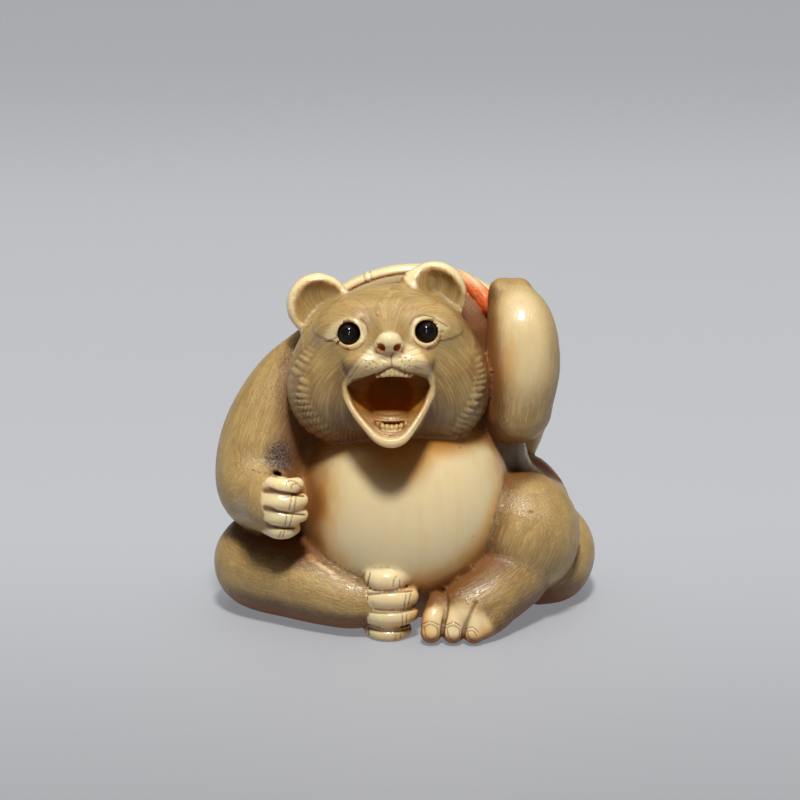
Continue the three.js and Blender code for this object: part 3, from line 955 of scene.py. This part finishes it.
def tufts(local):
    """The ruff's locks, as a height from 0 to 1, and its band: two rows of uneven tips that bend down."""
    x, z = local[:, 0] - 0.3, local[:, 2] + 0.6
    radius = np.hypot(x / 1.02, z * np.where(z < 0, 1.08, 1.0))
    angle = np.arctan2(z, x)
    low = step(2.0, 6.5, -z)
    side = np.where(x < 0, 1.0, -1.0)
    height = np.zeros(len(local))
    for start, phase in ((7.7, 0.0), (8.9, 0.5)):
        bend = side * 1.1 * np.clip((radius - start) / 2.2, 0, 1.2) ** 1.5
        turn = 12.5 * angle + phase + 0.35 * np.sin(3 * angle) + 0.25 * np.sin(11 * angle) + bend
        number = np.floor(turn)
        uneven = np.sin(12.9 * number + 40 * phase)
        along = (radius - start - 0.45 * uneven + 0.7 * low) / (1.8 + 0.3 * np.sin(5.7 * number) + 0.7 * low)
        cell = (turn - number) * 2 - 1
        tip = 1 - step(0.75, 1.0, along + 0.35 * cell**2)
        rise = np.sin(np.clip(along, 0, 1) * math.pi * 0.6)
        height = np.maximum(height, rise * (1 - cell**2) * tip)
    band = step(7.2, 8.2, radius) * (1 - step(11.0, 12.0, radius)) * (1 - step(1.5, 4.5, z))
    band *= step(1.5, 2.5, outline_distance(local[:, 0], local[:, 2], Mouth.OUTLINE))
    return height * band, band


def notch(away, half):
    """A rounded groove, 1 where away is 0."""
    return np.exp(-((away / half) ** 2))


def hat_relief(local):
    """The hat's sedge strips, its rings of stitches and the bound rim, as a height in millimetres."""
    radius = np.hypot(local[:, 0], local[:, 2])
    around = np.arctan2(local[:, 2], local[:, 0])
    back = local[:, 1] > 0
    strips = 0.14 * np.abs(np.sin(around * HAT_STRIPS / 2)) ** 0.7 * step(2.0, 5.0, radius)
    ring = (radius % HAT_RING) / HAT_RING
    stitches = -0.12 * notch(ring - 0.5, 0.1) * (radius > 2.2)
    crown = (strips + stitches) * (radius < HAT_RADIUS - HAT_BAND) * back
    outer = -0.12 * notch(radius - HAT_BOUND, 0.1)
    inner = -0.1 * notch(radius - (HAT_RADIUS - HAT_BAND - 0.1), 0.12) * back
    turn = (around - HAT_FIRST_BINDING) * HAT_BINDINGS / (2 * math.pi)
    turn = np.abs((turn + 0.5) % 1 - 0.5) * radius * 2 * math.pi / HAT_BINDINGS
    wrap = (0.06 * (turn < 0.3) - 0.1 * notch(turn - 0.3, 0.08)) * (radius > HAT_BOUND)
    return (crown + outer + inner + wrap) * (back | (local[:, 2] > 9))


class DistanceField:
    """Distances to the finished surface on a grid, for points that may be some way off it."""

    CELL = 0.5
    REACH_CELLS = 12

    def __init__(self, points, faces):
        scale = openvdb.createLinearTransform(voxelSize=self.CELL)
        grid = openvdb.FloatGrid.createLevelSetFromPolygons(
            points, triangles=faces, transform=scale, halfWidth=self.REACH_CELLS
        )
        self.low = np.floor(points.min(0) / self.CELL).astype(int) - self.REACH_CELLS
        size = np.ceil(points.max(0) / self.CELL).astype(int) + self.REACH_CELLS - self.low
        self.values = np.zeros(size, np.float32)
        grid.copyToArray(self.values, ijk=tuple(int(k) for k in self.low))

    def __call__(self, points):
        at = points / self.CELL - self.low
        cell = np.clip(np.floor(at).astype(int), 0, np.array(self.values.shape) - 2)
        part = at - cell
        out = np.zeros(len(points))
        for corner in np.ndindex(2, 2, 2):
            share = np.prod(np.where(corner, part, 1 - part), axis=1)
            out += share * self.values[tuple((cell + corner).T)]
        return out


def sky_ways(count):
    """Directions spread evenly over a ball."""
    k = np.arange(count) + 0.5
    height = 1 - 2 * k / count
    turn = k * math.pi * (1 + math.sqrt(5))
    flat = np.sqrt(1 - height**2)
    return np.stack([flat * np.cos(turn), flat * np.sin(turn), height], 1)


def shut_in(figure, field, points, normals):
    """How shut in each point is, from 0 to 1: in its own crease, and among the parts around it."""
    crease = np.zeros(len(points))
    for reach, share in ((0.25, 0.5), (0.7, 0.5)):
        open_way = figure(points + normals * reach) / reach
        crease += share * np.clip(1 - open_way, 0, 1)
    seen, whole = np.zeros((2, len(points)))
    for way in sky_ways(24):
        weight = np.clip(normals @ way, 0, 1)
        free = np.ones(len(points))
        for reach in (1.0, 2.2, 4.5):
            at = points + normals * 0.3 + way * reach
            away = np.minimum(field(at), at[:, 2] + 0.5)
            free = np.minimum(free, np.clip(away / (0.5 * reach), 0, 1))
        seen += weight * free
        whole += weight
    return crease, 1 - seen / whole


def attribute(mesh, name, values):
    kind = "FLOAT" if values.ndim == 1 else "FLOAT_VECTOR"
    made = mesh.attributes.new(name, kind, "POINT")
    field = "value" if values.ndim == 1 else "vector"
    made.data.foreach_set(field, values.astype(np.float32).reshape(-1))


# The longest edge in millimetres where nothing is fine, and at each finer place.
EDGES = {
    "plain": 0.9, "seam": 0.33, "face": 0.46, "ruff": 0.28, "hat": 0.33, "hat_rim": 0.24, "features": 0.26,
    "small_features": 0.2, "paw_tips": 0.33, "line": 0.14,
}
# Boxes that need short edges: the middle and half size in x and z, and the y that they lie in front of.
# In the head's frame: the nose, the upper teeth and the lower teeth.
SMALL_FEATURES = [
    ((0.1, 2.4), (1.5, 1.1), -4.5), ((0.6, -0.3), (2.0, 0.6), -8), ((0.35, -5.65), (1.8, 0.6), -6.8),
]
# The fist, the right toes and the left toes.
PAW_TIPS = [
    ((-11.9, 13.2), (3.3, 3.6), -8.3), ((-1.2, 0), (3.4, 7.6), -9.6), ((5, 0), (3.8, 4.8), -9.2),
]


def fineness(figure):
    """The longest edge wanted at each place, as a function of the places."""
    def wanted(points, *_):
        local = to_head(points)
        x, y, z = local.T
        out = np.full(len(points), EDGES["plain"])
        apart = np.sort(figure.gaps(points), axis=0)
        out[apart[1] - apart[0] < 0.26] = EDGES["seam"]
        face = (y < -2.5) & (np.abs(x) < 9.5) & (z > -9) & (z < 8)
        out[face] = EDGES["face"]
        out[face & (np.hypot(x - 0.3, z + 0.6) > 6.6) & (z < 4)] = EDGES["ruff"]
        on_hat = np.argmin([figure.hat(points), figure.part("torso", points)], axis=0) == 0
        radius = np.hypot(points[:, 0] - HAT_AT[0], points[:, 2] - HAT_AT[2])
        out[on_hat & (points[:, 1] > HAT_AT[1]) & (radius < HAT_RADIUS + 0.1)] = EDGES["hat"]
        rim = radius > HAT_RADIUS - HAT_BAND - 0.3
        out[rim & (np.abs(points[:, 1] - HAT_AT[1]) < 1.6) & (points[:, 2] > 30)] = EDGES["hat_rim"]
        features = face & (np.abs(x) < 5.8) & (z > -7.6) & (z < 5.6) & (y < -4.5)
        shallow = figure.head.mouth.depth(local) < 0.5
        out[features & shallow] = EDGES["features"]
        small = np.min([np.hypot(x - at[0], z - at[2]) for at in (RIGHT_EYE_AT, LEFT_EYE_AT)], axis=0) < 1.6
        for (at_x, at_z), (half_x, half_z), front in SMALL_FEATURES:
            small |= (np.abs(x - at_x) < half_x) & (np.abs(z - at_z) < half_z) & (y < front)
        out[features & small] = EDGES["small_features"]
        for (at_x, at_z), (half_x, half_z), front in PAW_TIPS:
            near = (np.abs(points[:, 0] - at_x) < half_x) & (np.abs(points[:, 2] - at_z) < half_z)
            out[near & (points[:, 1] < front)] = EDGES["paw_tips"]
        return out
    return wanted


def skin(figure, on, points, gaps):
    """How much each point is covered with carved hair, from 0, polished, to 1.

    On says for each part's name which points lie on it, and gaps how far each part is from each point.
    """
    x, y = picture(points)
    local = to_head(points)
    hair = np.ones(len(points))
    hair[on["belly"] | on["cord"]] = 0
    # The belly's bare skin ends softly where the parts beside it begin.
    gap = dict(zip(figure.names, gaps))
    others = np.min([gap[name] for name in ("torso", "right_leg", "left_leg", "left_foot")], axis=0)
    beside = (gap["belly"] < 1.0) & ~on["hat"] & ~on["cord"] & ~on["head"]
    hair[beside] = step(-0.5, -0.1, (gap["belly"] - others)[beside])
    # The raised forearm is paler in a patch, partly worn stain and partly a painted highlight.
    arm = on["left_arm"]
    off = np.hypot((x[arm] - WORN_AND_HIGHLIGHT_AT[0]) / WORN_AND_HIGHLIGHT_HALF[0], (y[arm] - WORN_AND_HIGHLIGHT_AT[1]) / WORN_AND_HIGHLIGHT_HALF[1])
    hair[arm] = 1 - 0.7 * (1 - step(0.4, 1.1, off)) * (points[arm, 1] < 2)
    fist = on["right_paw"]
    hair[fist] = np.maximum(0.02, 1 - step(*FIST_HAIR_X, x[fist] + 0.12 * (y[fist] - FIST_Y)))
    sole = on["right_foot"]
    hair[sole] = np.maximum(0.02, 1 - step(*RIGHT_FOOT_HAIR_X, x[sole]))
    toes = on["left_foot"]
    across = np.abs(x[toes] - TOES_X) * np.where(x[toes] < TOES_X, 0.05, 0.35)
    across += 1.2 * np.maximum(x[toes] - OUTER_SIDE_X, 0)
    hair[toes] = np.maximum(0.08, 1 - step(*LEFT_FOOT_HAIR_Y, y[toes] - across))
    head = on["head"]
    front = local[:, 1] < -3
    pale = 1 - step(-2.5, 2.5, outline_distance(x, y, MUZZLE_PATCH))
    for patch in EYE_PATCHES:
        pale = np.maximum(pale, 0.75 * (1 - step(-2.5, 3.5, outline_distance(x, y, patch))))
    hair[head & front] = 1 - 0.8 * pale[head & front]
    nose = head & (joined(figure.head.nose, points, 0.3) < 0.15)
    hair[nose] = 0.0
    hair[head & (outline_distance(local[:, 0], local[:, 2], Mouth.OUTLINE) < 0.5)] = 0.55
    for disc, hollow in figure.head.ears:
        on_ear = head & (disc(points) < 0.35)
        rim = step(0.0, 0.25, hollow(points)) * (1 - step(1.0, 2.2, local[:, 1]))
        hair[on_ear] = np.minimum(hair[on_ear], 1 - rim[on_ear])
    return hair


def figure_surface(figure):
    """The carving before its relief, with short edges where there is fine work."""
    points, faces = first_surface(figure)
    points = on_surface(figure, points)
    points, faces = split_long_edges(figure, points, faces, fineness(figure), 2)
    facing = point_normals(points, faces) @ VIEW_IN < FACING
    on = figure.places(np.argmin(figure.gaps(points), axis=0))
    near_line = strokes(points, facing, on)[2] < 1.8

    def along_lines(_, start, end):
        return np.where(near_line[start] | near_line[end], EDGES["line"], np.inf)

    return split_long_edges(figure, points, faces, along_lines, 1)


def stain_and_painted_shade(figure, on, points, faces, normals, hair):
    """How shut in each point is, which the material paints as patina and as shade: less where the stain is
    rubbed off and more where it stays.
    """
    crease, around = shut_in(figure, DistanceField(points, faces), points, normals)
    local = to_head(points)
    around[on["hat"]] *= np.where(points[on["hat"], 2] > 28, 0.15, 0.5)
    eye_gap = np.min([length(local - at) for at in (RIGHT_EYE_AT, LEFT_EYE_AT)], axis=0) - EYE_RADIUS
    by_eye = on["head"] & (eye_gap < 0.35)
    crease[by_eye] *= 0.5
    around[by_eye] *= 0.4
    # The hairy lower part of the head is darkened as painted shade, where it turns down from the light.
    painted_cheek_shade = on["head"] * (1 - step(-1.0, 3.0, local[:, 2])) * step(0.5, 0.9, hair)
    ankle = on["left_foot"] * step(1.0, 3.0, points[:, 2]) * step(0.3, 0.9, hair)
    around = around + 0.23 * painted_cheek_shade + 0.2 * ankle
    around[on["right_foot"] | on["right_paw"]] *= 0.5
    on_ear = on["head"] & (np.min([disc(points) for disc, _ in figure.head.ears], axis=0) < 0.3)
    around[on_ear] *= 0.4
    crease[on_ear] *= 0.6
    return crease, around


def painted_chin_shadow(figure, points):
    """How much each point is in the painted shadow that the chin and each cheek cast on the belly, from 0 to
    1.
    """
    cheek_gap = np.min([egg.distance(points) for egg in figure.head.skull[:3]], axis=0)
    return np.maximum(1 - step(4.6, 7.4, length(points - CHIN_AT)), 1 - step(0.6, 3.0, cheek_gap))


def build_figure():
    """The carving as one mesh, with the values that its material reads."""
    figure = Figure()
    points, faces = figure_surface(figure)
    normals = point_normals(points, faces)
    facing = normals @ VIEW_IN < FACING
    x, y = picture(points)
    local = to_head(points)
    gaps = figure.gaps(points)
    on = figure.places(np.argmin(gaps, axis=0))
    hat = figure.names.index("hat")
    hat_share = 1 - step(-0.15, 0.2, gaps[hat] - np.delete(gaps, hat, 0).min(0))

    hair = skin(figure, on, points, gaps) * (1 - hat_share)
    lock, band = tufts(local)
    band = band * on["head"] * (local[:, 1] < 3) * step(0.3, 0.9, hair)
    crease, around = stain_and_painted_shade(figure, on, points, faces, normals, hair)
    stain, depth, _ = strokes(points, facing, on)
    # These edges are raised a little and painted pale as a highlight.
    edge = highlit_edges(points, facing)
    relief = hat_relief(points - HAT_AT) * hat_share
    height = 0.17 * lock * band - depth + 0.05 * edge + relief
    # The wedge is painted dark as shade, both as shut in and as stain.
    wedge_shade = facing * (1 - step(-0.5, 1.0, outline_distance(x, y, DARK_WEDGE)))
    around = np.maximum(around, wedge_shade)
    between_locks = 0.45 * band * (1 - step(0.0, 0.5, lock))
    stain = np.max([stain, np.clip(-relief / 0.1, 0, 1), between_locks, 0.7 * wedge_shade], axis=0)
    nostril = 0.9 * (1 - step(0.02, 0.14, joined(figure.head.nostrils, points, 0.1)))
    off_pit = np.hypot(x - PIT[0], y - PIT[1]) / PIT_REACH
    values = {
        "grain": figure.grain(points, on),
        "hair": np.clip(hair * (1 - edge) - 0.3 * lock * band, 0, 1),
        # The cut lines' stain, with the wedge's painted shade in it.
        "cut_stain_and_shade": stain,
        # How shut in each point is, which the material paints as patina and shade.
        "crease": crease,
        "around": around,
        # The mouth's inside is painted dark as shade, with a painted orange glow low in it as light through
        # the ivory; the nostrils get the same dark red-brown.
        "throat": np.maximum(figure.head.mouth.depth(local) * on["head"], nostril),
        "glow": on["head"] * (1 - step(-3.9, -1.0, local[:, 2])),
        # The painted shadow of the chin and the cheek on the belly.
        "painted_chin_shadow": painted_chin_shadow(figure, points) * on["belly"],
        "pit": facing * on["right_arm"] * (1 - step(0.35, 1.0, off_pit)),
        "hat": hat_share,
    }

    # Creases are eased on the soft parts, and the underside stays flat.
    soft = on["belly"] | on["torso"] | on["left_leg"] | on["left_foot"]
    above_floor = step(0.02, 0.4, points[:, 2])
    for _ in range(3):
        points = eased(points, faces, 0.6 * step(0.25, 0.5, crease) * soft * (stain < 0.1))
    points = points + normals * (height * above_floor)[:, None]
    values["red"] = on["cord"] * (1 - step(29.8, 31.2, points[:, 2] - 0.25 * points[:, 1]))

    made = mesh_object("carved_figure", points, faces)
    for name, numbers in values.items():
        attribute(made.data, name, numbers)
    return made


# The materials

class Nodes:
    """One material, and short names for the nodes that the materials use."""

    def __init__(self, name):
        self.material = bpy.data.materials.new(name)
        self.material.use_nodes = True
        self.tree = self.material.node_tree
        self.shader = self.tree.nodes["Principled BSDF"]

    def put(self, socket, value):
        """Links another node's output to the socket, or sets a plain value on it."""
        if isinstance(value, bpy.types.NodeSocket):
            self.tree.links.new(value, socket)
        else:
            socket.default_value = value

    def node(self, kind, inputs=None, **settings):
        made = self.tree.nodes.new(kind)
        for key, value in settings.items():
            setattr(made, key, value)
        for key, value in (inputs or {}).items():
            self.put(made.inputs[key], value)
        return made

    def math(self, operation, a, b=0.0, clamp=False):
        return self.node("ShaderNodeMath", {0: a, 1: b}, operation=operation, use_clamp=clamp).outputs[0]

    def times(self, a, b):
        return self.math("MULTIPLY", a, b)

    def plus(self, a, b):
        return self.math("ADD", a, b)

    def less(self, a, b):
        return self.math("SUBTRACT", a, b)

    def ease(self, value, low, high):
        """0 where the value is below low, 1 above high and smooth between."""
        inputs = {"Value": value, "From Min": low, "From Max": high}
        return self.node("ShaderNodeMapRange", inputs, interpolation_type="SMOOTHSTEP").outputs["Result"]

    def mix(self, share, a, b):
        """Colour a where the share is 0, and colour b where it is 1."""
        a, b = (value if isinstance(value, bpy.types.NodeSocket) else (*value, 1) for value in (a, b))
        # Inputs 6 and 7 are the node's two colours, and output 2 is the mixed one.
        return self.node("ShaderNodeMix", {"Factor": share, 6: a, 7: b}, data_type="RGBA").outputs[2]

    def read(self, name, output="Fac"):
        return self.node("ShaderNodeAttribute", attribute_name=name).outputs[output]

    def stretched(self, vector, scales):
        return self.node("ShaderNodeMapping", {"Vector": vector, "Scale": scales}).outputs["Vector"]

    def noise(self, vector, scale, detail=3.0, roughness=0.55):
        inputs = {"Vector": vector, "Scale": scale, "Detail": detail, "Roughness": roughness}
        return self.node("ShaderNodeTexNoise", inputs).outputs["Fac"]

    def bump(self, height, strength, distance):
        inputs = {"Strength": strength, "Distance": distance, "Height": height}
        return self.node("ShaderNodeBump", inputs).outputs["Normal"]


# The ivory's colours, from bare to dyed, with the colours of its painted shade and glow.
CREAM = (0.78, 0.65, 0.385)
HONEY = (0.7, 0.4, 0.12)
# Dark orange for patina and painted shade where it is shut in, and for the chin's painted shadow.
PATINA_AND_SHADE_ORANGE = (0.42, 0.17, 0.02)
HAIR_LIGHT = (0.545, 0.385, 0.152)
HAIR_DARK = (0.16, 0.073, 0.019)
# Amber for patina and painted shade in creases and recesses.
PATINA_AND_SHADE_AMBER = (0.2, 0.06, 0.006)
INK = (0.17, 0.055, 0.012)
# Painted shade in the mouth, and the painted glow of light through the ivory low in it.
THROAT_SHADE = (0.42, 0.12, 0.004)
GLOW = (1.0, 0.4, 0.015)
RED = (0.75, 0.13, 0.03)
SOOT = (0.045, 0.032, 0.026)
HORN = ((0.002, 0.002, 0.002), (0.012, 0.01, 0.009))
FLOOR = ((0.405, 0.418, 0.447), (0.425, 0.438, 0.467))
FLOOR_SHADED = (0.26, 0.269, 0.288)
# The floor's half width in millimetres.
FLOOR_HALF = 1500.0


def ivory():
    """Stained and polished ivory: cream where it is bare, brown and streaked where hair is cut into it."""
    n = Nodes("stained_ivory")
    place = n.node("ShaderNodeTexCoord").outputs["Object"]
    grain = n.read("grain", "Vector")
    hair = n.read("hair")
    cut_stain_and_shade = n.read("cut_stain_and_shade")
    crease = n.read("crease")
    around = n.read("around")
    throat = n.read("throat")
    pit = n.read("pit")

    # Long streaks and thin dark lines along the hair, and broad and small clouds.
    fine = n.noise(n.stretched(grain, (0.05, 1, 1)), 6.5, 2.0, 0.55)
    broad = n.noise(n.stretched(grain, (0.25, 1, 1)), 0.9, 3.0, 0.6)
    cloud = n.noise(place, 220.0, 3.0, 0.6)
    mottle = n.noise(n.stretched(place, (1, 1, 0.45)), 150.0, 4.0, 0.6)
    streak = n.ease(fine, 0.35, 0.65)
    line = n.less(1.0, n.ease(n.math("ABSOLUTE", n.less(fine, 0.5)), 0.0, 0.04))
    line = n.times(line, hair)

    # The hair's brown, paler where it stands free: partly worn stain and partly painted light, as it is
    # darker where it is shut in from the light.
    wear_and_painted_light = n.less(1.0, n.ease(around, 0.1, 0.55))
    tone = n.times(streak, 0.17)
    for value, share in ((broad, 0.4), (cloud, 0.55), (wear_and_painted_light, 0.5)):
        tone = n.plus(tone, n.times(value, share))
    coat = n.mix(n.ease(tone, 0.4, 1.4), HAIR_DARK, HAIR_LIGHT)
    coat = n.mix(n.times(line, 0.45), coat, HAIR_DARK)

    # Bare ivory, with faint stripes, warmer where it is shut in, and darker orange there as patina and
    # painted shade.
    honey = n.times(n.ease(mottle, 0.38, 0.62), n.ease(around, 0.05, 0.35))
    stripes = n.noise(n.stretched(place, (1, 1, 0.1)), 700.0, 3.0, 0.6)
    honey = n.math("ADD", honey, n.times(n.ease(stripes, 0.45, 0.75), 0.25), clamp=True)
    bare = n.mix(n.times(honey, 0.75), CREAM, HONEY)
    bare = n.mix(n.times(n.ease(around, 0.25, 0.65), 0.75), bare, PATINA_AND_SHADE_ORANGE)
    # The chin's shadow on the belly is painted in as dark orange.
    bare = n.mix(n.times(n.read("painted_chin_shadow"), 0.9), bare, PATINA_AND_SHADE_ORANGE)

    # Patina and painted shade in creases and recesses, stain in cut lines, painted shade and glow in the
    # mouth's inside, the dyed cord and the stippled pit.
    colour = n.mix(hair, bare, coat)
    # Creases and recesses turn amber, partly as patina and partly as painted shade.
    shade = n.math("MAXIMUM", n.ease(crease, 0.2, 0.75), n.times(n.ease(around, 0.4, 0.85), 0.9))
    colour = n.mix(n.times(shade, 0.85), colour, PATINA_AND_SHADE_AMBER)
    # Stain in the cut lines, and painted shade on the wedge by the thigh.
    colour = n.mix(n.times(cut_stain_and_shade, 0.92), colour, INK)
    # The mouth's inside: painted shade, and lower down a painted glow.
    deep = n.mix(n.read("glow"), THROAT_SHADE, GLOW)
    colour = n.mix(n.times(throat, 0.97), colour, deep)
    dyed = n.times(n.read("red"), n.ease(n.noise(place, 500.0, 2.0), 0.25, 0.5))
    colour = n.mix(n.times(dyed, 0.9), colour, RED)
    dots = n.ease(n.noise(place, 5200.0, 1.0), 0.4, 0.56)
    stipple = n.times(pit, n.plus(n.times(dots, 0.65), 0.3))
    colour = n.mix(stipple, colour, SOOT)
    n.put(n.shader.inputs["Base Color"], colour)

    # Fine grooves along the hair, and a duller polish where it is cut or shut in.
    grooves = n.less(n.times(streak, hair), n.times(line, 0.6))
    grooves = n.less(grooves, n.times(pit, dots))
    n.put(n.shader.inputs["Normal"], n.bump(grooves, 0.4, 0.00006))
    rough = n.plus(n.times(hair, 0.14), 0.17)
    for value, share in ((shade, 0.25), (crease, 0.4), (throat, 0.3), (n.read("hat"), 0.1)):
        rough = n.plus(rough, n.times(value, share))
    n.put(n.shader.inputs["Roughness"], rough)
    n.shader.inputs["Subsurface Weight"].default_value = 0.5
    n.shader.inputs["Subsurface Radius"].default_value = (1.0, 0.38, 0.1)
    n.shader.inputs["Subsurface Scale"].default_value = 0.002
    n.shader.inputs["IOR"].default_value = 1.5
    return n.material


def horn():
    n = Nodes("black_horn")
    place = n.node("ShaderNodeTexCoord").outputs["Object"]
    cloud = n.noise(place, 900.0, 3.0)
    n.put(n.shader.inputs["Base Color"], n.mix(cloud, *HORN))
    n.put(n.shader.inputs["Roughness"], n.plus(n.times(cloud, 0.06), 0.06))
    n.put(n.shader.inputs["Normal"], n.bump(cloud, 0.1, 0.00003))
    n.shader.inputs["Specular IOR Level"].default_value = 0.2
    return n.material


def build_eye(name, at, node):
    """An inlaid eye: a polished ball that sits in its socket."""
    made_points, made_faces = [], []
    for i in range(EYE_RINGS + 1):
        angle = math.pi * i / EYE_RINGS
        for j in range(EYE_SIDES):
            turn = 2 * math.pi * j / EYE_SIDES
            out = math.sin(angle)
            made_points.append((out * math.cos(turn), -math.cos(angle), out * math.sin(turn)))
    for i in range(EYE_RINGS):
        for j in range(EYE_SIDES):
            a, b = i * EYE_SIDES + j, i * EYE_SIDES + (j + 1) % EYE_SIDES
            made_faces += [(a, a + EYE_SIDES, b + EYE_SIDES), (a, b + EYE_SIDES, b)]
    points = HEAD_AT + (EYE_RADIUS * np.array(made_points) + at) @ HEAD_TURN.T
    made = mesh_object(name, points, np.array(made_faces))
    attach(made, "root")
    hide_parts(node)
    made.data.materials.append(horn())


# The scene

def build_floor():
    """A pale floor, with painted shade that makes it a little darker near the camera and far behind the
    carving.
    """
    n = Nodes("pale_floor")
    place = n.node("ShaderNodeTexCoord").outputs["Object"]
    along = n.node("ShaderNodeSeparateXYZ", {0: place}).outputs["Y"]
    colour = n.mix(n.noise(place, 6.0, 2.0), *FLOOR)
    # Painted shade: the floor darkens near the camera and far behind the carving.
    near = n.less(1.0, n.ease(along, -0.075, 0.03))
    far = n.ease(along, 0.13, 0.24)
    colour = n.mix(n.times(near, 0.85), colour, FLOOR_SHADED)
    colour = n.mix(n.times(far, 0.5), colour, FLOOR_SHADED)
    # The floor gives part of its own light, so that shadows on it stay soft and pale.
    n.put(n.shader.inputs["Base Color"], n.mix(0.42, colour, (0, 0, 0)))
    n.put(n.shader.inputs["Emission Color"], colour)
    n.shader.inputs["Emission Strength"].default_value = 0.5
    n.shader.inputs["Roughness"].default_value = 0.6
    corners = FLOOR_HALF * np.array([(-1, -1, 0), (1, -1, 0), (1, 1, 0), (-1, 1, 0)], float)
    made = mesh_object("floor", corners, np.array([(0, 1, 2), (0, 2, 3)]))
    made.data.materials.append(n.material)


def lamp(name, size, energy, height, distance, colour, shine):
    """A round soft light in front of the carving and this many degrees up, turned to it."""
    light = bpy.data.lights.new(name, "AREA")
    light.shape = "DISK"
    light.size = size
    light.energy = energy
    light.color = colour
    light.specular_factor = shine
    made = bpy.data.objects.new(name, light)
    up = math.radians(height)
    target = Vector((0, 0, 0.018))
    made.location = target + Vector((0, -distance * math.cos(up), distance * math.sin(up)))
    made.rotation_euler = (target - made.location).to_track_quat("-Z", "Y").to_euler()
    bpy.context.collection.objects.link(made)


def build_light():
    world = bpy.data.worlds.new("studio")
    world.use_nodes = True
    back = world.node_tree.nodes["Background"]
    back.inputs["Color"].default_value = (1.0, 0.97, 0.93, 1)
    back.inputs["Strength"].default_value = 0.06
    bpy.context.scene.world = world
    lamp("key", size=0.2, energy=16.8, height=66, distance=1.2, colour=(1.0, 0.97, 0.93), shine=1.0)
    lamp("overhead", size=0.8, energy=2.5, height=100, distance=0.7, colour=(1.0, 0.98, 0.95), shine=0.0)


def build_camera():
    camera = bpy.data.cameras.new("camera")
    camera.sensor_width = 36.0
    camera.lens = 202.5
    camera.clip_start = 0.01
    made = bpy.data.objects.new("camera", camera)
    target = Vector(VIEW_AT) * MM
    made.location = target - Vector(VIEW_IN) * VIEW_DISTANCE * MM
    made.rotation_euler = (target - made.location).to_track_quat("-Z", "Y").to_euler()
    bpy.context.collection.objects.link(made)
    bpy.context.scene.camera = made
    bpy.context.scene.view_settings.view_transform = "Standard"


build_camera()
carving = build_figure()
carving.data.materials.append(ivory())
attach(carving, "root")
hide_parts("figure")
build_eye("horn_eye_right", RIGHT_EYE_AT, "eye_right")
build_eye("horn_eye_left", LEFT_EYE_AT, "eye_left")
build_floor()
build_light()
